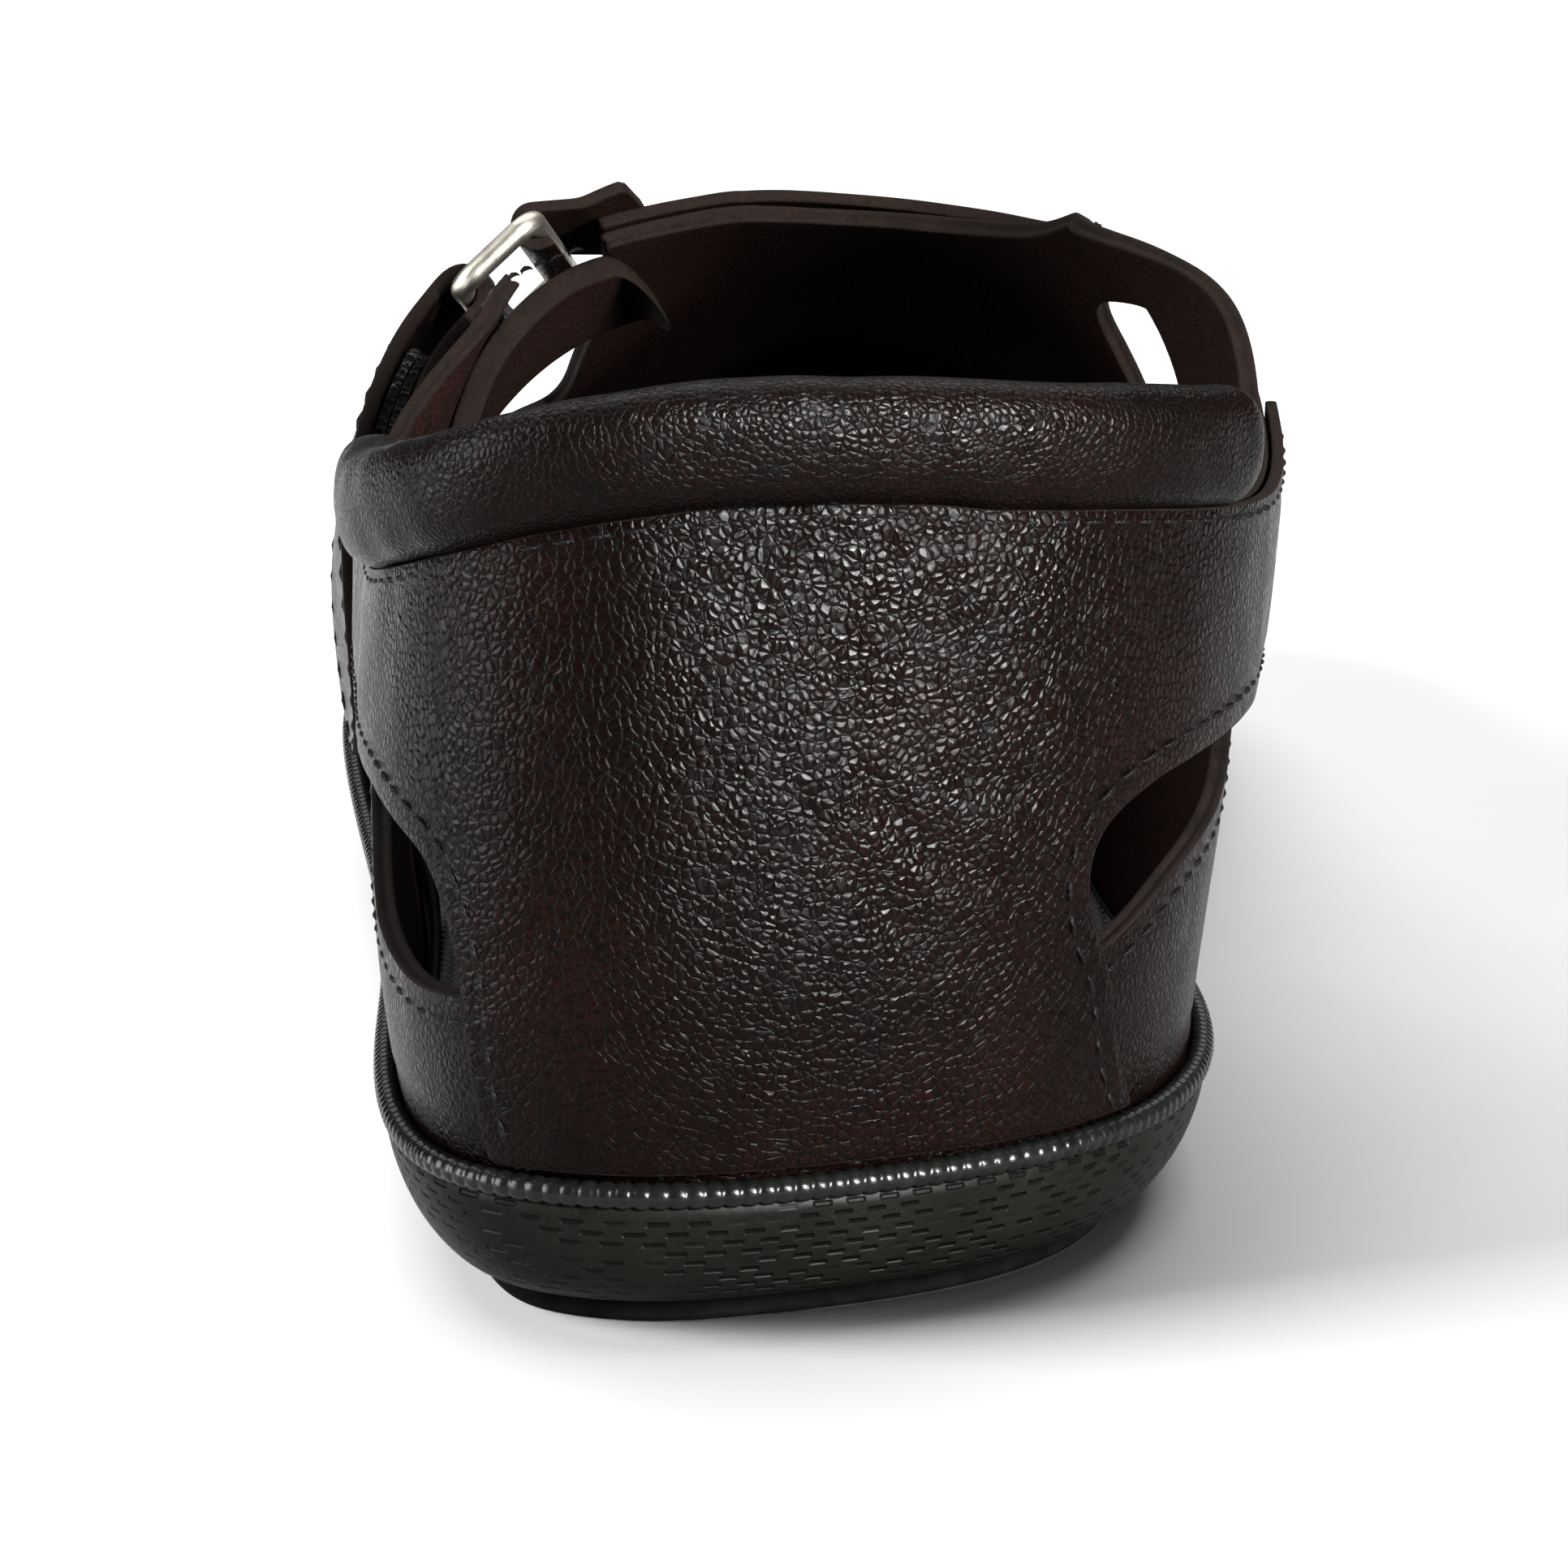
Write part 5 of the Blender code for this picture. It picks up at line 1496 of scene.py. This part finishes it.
@dataclass
class Ribbon:
    """Strip of leather or tape from rows of places across it.

    Args:
        rows: places on its middle, row by row.
        normals: its thickness direction at each.
        thickness: its thickness.
    """

    rows: Array
    normals: Array
    thickness: float

    @staticmethod
    def chart(table: Table, distance: Array | float, half: Array | float, direction: Array,
              q: Array, across: int = 25) -> tuple[Array, Array]:
        """Rows over a chart line on the lateral side, across it by half to both sides."""
        fine = line(table, q)
        spread = np.linspace(-1, 1, across) * np.broadcast_to(half, (len(q),))[:, None]
        station, v = LAST.walk(np.repeat(-fine[:, :1], across, 1), np.repeat(fine[:, 1:], across, 1),
                               direction, spread)
        away = np.broadcast_to(distance, (len(q),))[:, None] * np.ones(across)
        return LAST.off(station, v, away), LAST.normal(station, v)

    @staticmethod
    def round_bar(middle: Array, first: Array, second: Array, radius: float, turn: Array, half: float,
                  long: Array, across: int = 25) -> tuple[Array, Array]:
        """Rows round a bar; angles in degrees run from first to second."""
        angle = np.radians(turn)[:, None, None]
        radial = first * np.cos(angle) + second * np.sin(angle) + np.zeros((1, across, 1))
        return middle + radial * radius + long * np.linspace(-1, 1, across)[:, None] * half, radial

    def eased(self, rounds: int) -> "Ribbon":
        """Rows drawn smooth along the strip; its ends stay."""
        rows, normals = self.rows.copy(), self.normals.copy()
        for _ in range(rounds):
            rows[1:-1] = (rows[:-2] + 2 * rows[1:-1] + rows[2:]) / 4
            normals[1:-1] = (normals[:-2] + 2 * normals[1:-1] + normals[2:]) / 4
        return Ribbon(rows, unit(normals), self.thickness)

    def even(self, step: float) -> "Ribbon":
        """Rows at even lengths along the strip's middle."""
        spine = self.rows[:, self.rows.shape[1] // 2]
        gaps = run_along(spine)
        where = np.linspace(0, gaps[-1], int(gaps[-1] / step) + 2)
        k = np.clip(np.searchsorted(gaps, where) - 1, 0, len(gaps) - 2)
        share = ((where - gaps[k]) / (gaps[k + 1] - gaps[k]))[:, None, None]
        rows, normals = (a[k] * (1 - share) + a[k + 1] * share for a in (self.rows, self.normals))
        return Ribbon(rows, unit(normals), self.thickness)

    def narrowed(self, start: float, stop: float) -> "Ribbon":
        """Corners rounded at its first and last row, by their radii; 0 leaves an end square."""
        spine = self.rows[:, self.rows.shape[1] // 2]
        gaps = run_along(spine)
        width = np.ones(len(gaps))
        for run, radius in ((gaps, start), (gaps[-1] - gaps, stop)):
            if radius > 0:
                near = np.clip(1 - run / radius, 0, 1)
                width *= np.clip(1 - near**2.4, 0.02, 1)**(1 / 2.4)
        middle = spine[:, None]
        return Ribbon(middle + (self.rows - middle) * width[:, None, None], self.normals, self.thickness)

    def edge(self, share: float, outward: float) -> tuple[Array, Array]:
        """Path at a share of the half width, on the face that outward (1 or -1) names."""
        column = (share + 1) / 2 * (self.rows.shape[1] - 1)
        k = int(np.clip(np.floor(column), 0, self.rows.shape[1] - 2))
        f = column - k
        path = self.rows[:, k] * (1 - f) + self.rows[:, k + 1] * f
        up = unit(self.normals[:, k] * (1 - f) + self.normals[:, k + 1] * f) * outward
        return path + up * self.thickness / 2, up

    def piece(self, name: str, finishes: list[Finish], slot: Slot, replaces: tuple[str, ...],
              bulge: float, wave: float = 0.0) -> None:
        """Strip with rolled edges; wave is the height of its soft unevenness."""
        count, across = self.rows.shape[:2]
        points, normals = self.rows.reshape(-1, 3), self.normals.reshape(-1, 3)
        points = points + normals * (wave * soft_noise(points, 0.016, 41))[:, None]
        faces = grid_quads(count, across)
        side = np.cross(points[across] - points[0], points[1] - points[0])
        if np.dot(side, normals[0]) > 0:
            faces = faces[:, ::-1]
        half = self.thickness / 2
        rimmed(points, normals, faces, half, -half, bulge).piece(name, finishes, slot, replaces)


@dataclass
class Ring:
    """Rounded loop of round wire, worn silver.

    Args:
        place: where it lies.
        corner_steps: points of a corner's arc.
        around: points round the wire.
    """

    place: RingPlace
    corner_steps: int = 14
    around: int = 20

    def build(self) -> None:
        """Tube round four corner arcs joined by straight bars."""
        place = self.place
        half_long = RING_LENGTH / 2 - RING_CORNER
        half_short = RING_REACH / 2 + RING_WIRE - RING_CORNER
        turn = np.repeat(np.arange(4), self.corner_steps)
        angle = (turn + np.tile(np.linspace(0, 1, self.corner_steps), 4)) * np.pi / 2
        a = np.array((1, -1, -1, 1))[turn][:, None]
        b = np.array((1, 1, -1, -1))[turn][:, None]
        out = place.long * np.cos(angle)[:, None] + place.short * np.sin(angle)[:, None]
        path = place.centre + place.long * a * half_long + place.short * b * half_short + out * RING_CORNER
        spin = np.linspace(0, 2 * np.pi, self.around, endpoint=False)
        rings = (path[:, None] + out[:, None] * (np.cos(spin) * RING_WIRE)[:, None]
                 + place.lift * (np.sin(spin) * RING_WIRE)[:, None])
        faces = grid_quads(len(path), self.around, closed=True)
        last = (len(path) - 1) * self.around
        fan = np.arange(self.around)
        close = np.stack((last + fan, last + np.roll(fan, -1), np.roll(fan, -1), fan), 1)
        faces = np.concatenate((faces, close))
        Shell(rings.reshape(-1, 3), [(faces, 0)]).piece("ring_wire", [SILVER], Slot.METAL, ("ring",))


@dataclass
class Straps:
    """The fastening: closure strap through the ring, its tapes, the ring's tab and the underlay.

    Args:
        place: where the ring lies.
        stitch_share: place of the strap's stitches as a share of its half width.
    """

    place: RingPlace
    stitch_share: float = 0.80

    def strap(self) -> Ribbon:
        """Strap: up the lateral band, round the ring's outer bar and down outside to its free end."""
        place, half = self.place, STRAP_WIDTH / 2
        rest = GAP + STRAP_SAG + STRAP_THICKNESS / 2
        inner, inner_out = Ribbon.chart(STRAP_LINE, rest, half, place.long, np.linspace(0.60, 0.95, 36))
        fold, fold_out = Ribbon.round_bar(place.bar(False), place.short, place.lift,
                                          RING_WIRE + GAP + STRAP_THICKNESS / 2,
                                          np.linspace(-90, 95, 30), half, place.long)
        stack = STRAP_SAG + 2 * STRAP_THICKNESS + 2 * PAD_THICKNESS + 4 * GAP
        q = np.linspace(1, 0, 101)
        low = GAP + STRAP_THICKNESS / 2 + STRAP_DROOP
        away = low + (stack - STRAP_THICKNESS / 2 - low) * smooth(0, 0.58, q)
        outer, outer_out = Ribbon.chart(STRAP_LINE, away, half, place.long, q)
        ribbon = Ribbon(np.concatenate((inner, fold, outer)),
                        np.concatenate((inner_out, -fold_out, -outer_out)), STRAP_THICKNESS)
        return ribbon.even(0.0006).eased(4).narrowed(0.0, 0.0095)

    def tape(self, level: float) -> Ribbon:
        """Hook or loop tape at a distance over the last."""
        rows = Ribbon.chart(STRAP_LINE, level, PAD_WIDTH / 2, self.place.long, np.linspace(0.65, 0.90, 60))
        return Ribbon(*rows, PAD_THICKNESS).narrowed(0.0015, 0.0015)

    def tab(self) -> Ribbon:
        """Tab: from the instep panel's end over the ring's inner bar and back under it."""
        place, half = self.place, TAB_WIDTH / 2
        rest = GAP + OVERLAY + GAP + TAB_THICKNESS / 2
        top, top_out = Ribbon.chart(TAB_LINE, rest, half, place.long, np.linspace(0, 1, 24))
        turn, turn_out = Ribbon.round_bar(place.bar(True), place.lift, -place.short,
                                          RING_WIRE + GAP + TAB_THICKNESS / 2,
                                          np.linspace(-12, 180, 36), half, place.long)
        ribbon = Ribbon(np.concatenate((top, turn)), np.concatenate((top_out, turn_out)), TAB_THICKNESS)
        return ribbon.even(0.0005).eased(4).narrowed(0.0012, 0.0)

    def flap(self) -> Ribbon:
        """Underlay: from inside the lateral band up behind the ring, its tip a little low."""
        q = np.linspace(0, 1, 120)
        droop = np.clip(q * 5.2 - 4.2, 0, 1)**2
        away = -(WALL + GAP + FLAP_THICKNESS / 2) - droop * FLAP_DROOP
        rows = Ribbon.chart(FLAP_PATH, away, FLAP_WIDTH / 2, self.place.long, q)
        return Ribbon(*rows, FLAP_THICKNESS).narrowed(0.0, 0.0075)

    def build(self) -> None:
        """All five strips with their stitches."""
        strap, tab, flap = self.strap(), self.tab(), self.flap()
        level = GAP + STRAP_SAG + STRAP_THICKNESS + GAP + PAD_THICKNESS / 2
        strap.piece("closure_strap_leather", [INNER, LEATHER, EDGE], Slot.LEATHER, ("closure_strap",),
                    0.00025, 0.00010)
        tab.piece("ring_tab_leather", SHEET, Slot.LEATHER, ("ring_tab",), 0.00020)
        flap.piece("underlay_leather", SHEET, Slot.LEATHER, ("underlay_flap",), 0.00025, 0.00012)
        self.tape(level).piece("loop_tape", [PILE] * 3, Slot.HOOK, ("loop_pad",), 0.0002)
        self.tape(level + PAD_THICKNESS + GAP).piece("hook_tape_pad", [PILE] * 3, Slot.HOOK, ("hook_pad",),
                                                     0.0002)
        rows = [strap.edge(sign * self.stitch_share, -1.0) for sign in (-1, 1)]
        rows += [flap.edge(sign * self.stitch_share, 1.0) for sign in (-1, 1)]
        tab_row, tab_up = tab.edge(0.0, 1.0)
        width = np.linspace(-0.85, 0.85, 40)[:, None] * TAB_WIDTH / 2 * self.place.long
        rows.append((tab_row[3] + width, np.repeat(tab_up[3:4], 40, 0)))
        stitched("strap_stitches", rows)


def sole_ring(station: Array, out: Array | float, height: Array | float) -> Array:
    """Ring round the sole at a distance outside the feather line; height from 0 floor to 1 feather."""
    knot = LAST.knot(station)
    ring = LAST.base(knot) + LAST.outward(knot) * np.asarray(out, float)[..., None]
    under, top = floor_rise(ring[:, 1]), LAST.base(knot)[:, 2]
    ring[:, 2] = under + height * (top - under)
    return ring


def ruled(ring: Array, across: int, up: bool) -> tuple[Array, Array]:
    """Level cap of a ring: rows from side to side between points that face each other.

    Args:
        ring: points from the toe round the heel and back.
        across: points a row.
        up: faces turned up, or down.

    Returns:
        The cap's points and quads.
    """
    half = len(ring) // 2
    left = ring[:half + 1]
    right = ring[(-np.arange(half + 1)) % len(ring)]
    share = np.linspace(0, 1, across)[None, :, None]
    points = left[:, None] * (1 - share) + right[:, None] * share
    faces = grid_quads(half + 1, across)
    return points.reshape(-1, 3), faces if up else faces[:, ::-1]


@dataclass
class Sole:
    """Midsole with its rolled side, bead, tread pad and footbed.

    Args:
        half: stations a side.
        height: the midsole's height, roughly, for the map of its dashes.
        bead_out: how far the bead's middle lies outside the feather line.
        bead_height: its height as a share of the sole's thickness.
        bead_radius: radius at the middle of a cell.
        bead_pinch: share of the radius that is lost between cells.
        bead_sides: points round the bead.
        cell: length of a cell.
        cell_steps: points along a cell.
        groove_depth: depth of the tread's grooves.
        groove_pitch: distance from groove to groove.
        groove_sway: how far a groove sways to both sides.
        groove_wave: length of one sway.
        bevel: the tread pad's bevelled edge.
        cup: depth of the footbed's heel cup.
    """

    half: int = 190
    height: float = 0.015
    bead_out: float = 0.0011
    bead_height: float = 0.955
    bead_radius: float = 0.00128
    bead_pinch: float = 0.17
    bead_sides: int = 12
    cell: float = 0.0016
    cell_steps: int = 6
    groove_depth: float = 0.00075
    groove_pitch: float = 0.0085
    groove_sway: float = 0.0022
    groove_wave: float = 0.018
    bevel: float = 0.0008
    cup: float = 0.0011

    def profile(self) -> Array:
        """Side of the midsole: columns out and height, bottom to seat."""
        rows = np.array([row[1:] for row in HULL[:7]])
        side = Spline(rows)(np.linspace(0, 6, 40))
        seat = np.array(((0.0014, 0.875), (0.0011, 0.920), (0.0006, 0.955), (0.0003, 0.975), (0.0002, 0.980),
                         (-0.0024, 0.980)))
        return np.concatenate((side, seat))

    def midsole(self) -> None:
        """Stacked rings with a millimetre map for the dashes, closed by ruled caps."""
        station, profile = sole_stations(self.half), self.profile()
        rings = np.stack([sole_ring(station, out * SOLE_MARGIN / HULL_REACH, height)
                          for out, height in profile])
        levels, count = rings.shape[:2]
        run = run_along(np.concatenate((rings[6], rings[6, :1]))) * 1000
        rise = run_along(profile * (1.0, self.height)) * 1000
        uv = np.stack((np.tile(run[:-1], levels), np.repeat(rise, count)), 1)
        points, blocks = rings.reshape(-1, 3), [(grid_quads(levels, count, closed=True), 0)]
        for ring, up in ((rings[0], False), (rings[-1], True)):
            cap, faces = ruled(ring, 9, up)
            blocks.append((faces + len(points), 0))
            points = np.concatenate((points, cap))
            uv = np.concatenate((uv, np.zeros((len(cap), 2)) - 50.0))
        Shell(points, blocks, uv).piece("midsole_side", [SOLE_SIDE], Slot.SOLE, ("midsole",), run[-1])

    def bead(self) -> None:
        """Tube along the midsole's top edge, pinched between its cells.

        Its radius falls where the sine of the length over the cell's length is nought.
        """
        fine = sole_ring(sole_stations(1500), self.bead_out, self.bead_height)
        closed = np.concatenate((fine, fine[:1]))
        gaps = run_along(closed)
        cells = int(round(gaps[-1] / self.cell))
        count, sides = cells * self.cell_steps, self.bead_sides
        share = np.arange(count) / self.cell_steps
        path = np.stack([np.interp(share * gaps[-1] / cells, gaps, closed[:, k]) for k in range(3)], 1)
        way = unit(np.roll(path, -1, 0) - np.roll(path, 1, 0))
        out = unit(np.cross(way, (0.0, 0.0, 1.0)))
        up = np.cross(out, way)
        pinch = 1 - self.bead_pinch * (1 - np.abs(np.sin(np.pi * share)))**1.6
        spin = np.linspace(0, 2 * np.pi, sides, endpoint=False)
        ring = np.cos(spin)[:, None] * out[:, None] + np.sin(spin)[:, None] * up[:, None]
        points = path[:, None] + ring * (self.bead_radius * pinch)[:, None, None]
        i, j = np.meshgrid(np.arange(count), np.arange(sides), indexing="ij")
        k, m = (i + 1) % count, (j + 1) % sides
        faces = np.stack((i * sides + j, k * sides + j, k * sides + m, i * sides + m), -1).reshape(-1, 4)
        Shell(points.reshape(-1, 3), [(faces, 0)]).piece("sole_bead", [BEAD], Slot.SOLE)

    def tread(self) -> None:
        """Pad under the midsole, its underside cut by wavy grooves.

        A groove lies where the sine of the length along the sole, swayed by the sine of the place
        across it, is high; it fades out towards the pad's edge.
        """
        station = sole_stations(self.half)
        inset = OUTSOLE_INSET - self.bevel
        rings = []
        for out, lift in ((-OUTSOLE_INSET, 0.0), (-OUTSOLE_INSET + 0.0005, 0.00015),
                          (-inset, self.bevel), (-inset, OUTSOLE_THICKNESS)):
            ring = sole_ring(station, out, 0.0)
            ring[:, 2] += lift
            rings.append(ring)
        rings[-1][:, 2] = sole_ring(station, -OUTSOLE_INSET, HULL[0][2])[:, 2] - GAP
        points, blocks = np.concatenate(rings), [(grid_quads(4, len(station), closed=True), 0)]
        for ring, across, up in ((rings[0], 61, False), (rings[-1], 5, True)):
            cap, faces = ruled(ring, across, up)
            if not up:
                rim = np.abs(np.linspace(-1, 1, across))[None].repeat(self.half + 1, 0).ravel()
                end = np.abs(np.linspace(-1, 1, self.half + 1))[:, None].repeat(across, 1).ravel()
                inside = smooth(1.0, 0.9, rim) * smooth(1.0, 0.97, end)
                sway = self.groove_sway * np.sin(cap[:, 0] * 2 * np.pi / self.groove_wave)
                wave = np.sin(2 * np.pi * (cap[:, 1] + sway) / self.groove_pitch)
                cap[:, 2] += self.groove_depth * smooth(0.35, 0.75, wave) * inside
            blocks.append((faces + len(points), 0))
            points = np.concatenate((points, cap))
        Shell(points, blocks).piece("tread_pad", [TREAD], Slot.TREAD, ("outsole",))

    def footbed(self) -> None:
        """Footbed with a rolled upper edge and a shallow cup for the heel."""
        station, inset = sole_stations(self.half), WALL + 2 * GAP + 0.0002
        rings = []
        for out, lift in ((0.0, 0.0), (0.0, 0.0017), (0.00012, 0.0021), (0.0004, 0.0024),
                          (0.0009, INSOLE_THICKNESS)):
            ring = sole_ring(station, -inset - out, HULL[-1][2])
            ring[:, 2] += GAP + lift
            rings.append(ring)
        points, blocks = np.concatenate(rings), [(grid_quads(len(rings), len(station), closed=True), 1)]
        for ring, across, up in ((rings[0], 5, False), (rings[-1], 41, True)):
            cap, faces = ruled(ring, across, up)
            if up:
                share = np.tile(np.linspace(0, 1, across), self.half + 1)
                back = np.repeat(np.linspace(0, 1, self.half + 1), across)
                heel = smooth(0.55, 0.85, back) * smooth(1.0, 0.96, back)
                cap[:, 2] -= self.cup * np.sin(np.pi * share)**0.8 * heel
            blocks.append((faces + len(points), 0 if up else 1))
            points = np.concatenate((points, cap))
        Shell(points, blocks).piece("footbed_woven", [FOOTBED, FOOTBED_SIDE], Slot.LINING, ("insole",))

    def build(self) -> None:
        """All four parts of the sole."""
        self.midsole()
        self.bead()
        self.tread()
        self.footbed()


# Studio


@dataclass
class Studio:
    """Pale floor, soft lights and the photograph's camera.

    Args:
        eye: camera in the shoe's own place before centring.
        target: point that it looks at, in the same place.
        lens: focal length in millimetres on a 36 mm sensor.
        heel: point that the lamps are turned to, in the frame.
        sky: strength of the plain light from all round.
    """

    eye: tuple[float, float, float] = (-0.0126, -0.5511, 0.1900)
    target: tuple[float, float, float] = (-0.0010, 0.0400, 0.0420)
    lens: float = 150.0
    heel: tuple[float, float, float] = (0.0, -0.08, 0.05)
    sky: float = 0.05

    def aimed(self, made: bpy.types.Object, place: Array, target: Array, roll: float = 0.0) -> None:
        """Puts an object in its place, turned to its target and rolled by an angle in degrees."""
        made.location = place.tolist()
        facing = Vector((target - place).tolist()).to_track_quat("-Z", "Y")
        made.rotation_euler = (facing @ Quaternion((0.0, 0.0, 1.0), float(np.radians(roll)))).to_euler()
        bpy.context.collection.objects.link(made)

    def light(self, name: str, place: tuple[float, float, float], size: tuple[float, float],
              power: float, beam: float = 180.0, roll: float = 0.0) -> None:
        """Soft box aimed at the heel; beam is its opening and roll its turn, in degrees."""
        lamp = bpy.data.lights.new(name, "AREA")
        lamp.shape = "RECTANGLE"
        lamp.size, lamp.size_y = size
        lamp.energy = power
        lamp.spread = float(np.radians(beam))
        self.aimed(bpy.data.objects.new(name, lamp), np.array(place), np.array(self.heel), roll)

    @staticmethod
    def spared(lamp: bpy.types.Object, floor: bpy.types.Object) -> None:
        """Keeps a lamp's light, and so its shadows, off the floor."""
        group = bpy.data.collections.new(lamp.name + "_spares")
        group.objects.link(floor)
        group.collection_objects[0].light_linking.link_state = "EXCLUDE"
        lamp.light_linking.receiver_collection = group

    def floor(self) -> None:
        """Floor four metres each way, with a faint mottle."""
        corners = np.array(((-4, -4, 0), (4, -4, 0), (4, 4, 0), (-4, 4, 0)), float)
        mesh = bpy.data.meshes.new("floor")
        mesh.from_pydata(corners.tolist(), [], [(0, 1, 2, 3)])
        made = bpy.data.objects.new("floor", mesh)
        graph = Graph("floor_paper")
        tone = graph.ramp(graph.noise(30.0, 2.0), [(0.0, (0.86, 0.86, 0.87)), (1.0, (0.90, 0.90, 0.905))])
        graph.give(Base_Color=tone, Roughness=0.7)
        mesh.materials.append(graph.made)
        bpy.context.collection.objects.link(made)

    def build(self) -> None:
        """Floor, world, three soft boxes and the camera."""
        self.floor()
        world = bpy.data.worlds.new("studio")
        world.use_nodes = True
        around = world.node_tree.nodes["Background"]
        around.inputs["Color"].default_value = (0.95, 0.97, 1.0, 1.0)
        around.inputs["Strength"].default_value = self.sky
        bpy.context.scene.world = world
        bpy.context.scene.view_settings.view_transform = "Standard"
        self.light("left_box", (-1.20, -0.30, 0.45), (0.7, 0.9), 38.0)
        self.light("right_strip", (0.66, -0.98, 0.44), (0.07, 0.62), 6.5, beam=40.0, roll=24.0)
        self.light("top_box", (0.0, 0.60, 1.5), (2.2, 2.0), 42.0)
        self.spared(bpy.data.objects["right_strip"], bpy.data.objects["floor"])
        lens = bpy.data.cameras.new("camera")
        lens.lens = self.lens
        lens.sensor_width = 36.0
        lens.clip_start = 0.01
        made = bpy.data.objects.new("camera", lens)
        self.aimed(made, np.array(self.eye) + SHIFT, np.array(self.target) + SHIFT)
        bpy.context.scene.camera = made


def main() -> None:
    """Builds every piece in order, then the studio, and reports each."""
    logging.basicConfig(level=logging.INFO, format="%(name)s: %(message)s")
    LOG.info("%d nodes in the frame", len(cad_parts))
    place = RingPlace()
    for part in (Upper(), HeelPiece(), Collar(), InstepPanel(), Ring(place), Straps(place), Sole()):
        part.build()
        LOG.info("%s done", type(part).__name__)
    Studio().build()


if __name__ == "__main__":
    main()
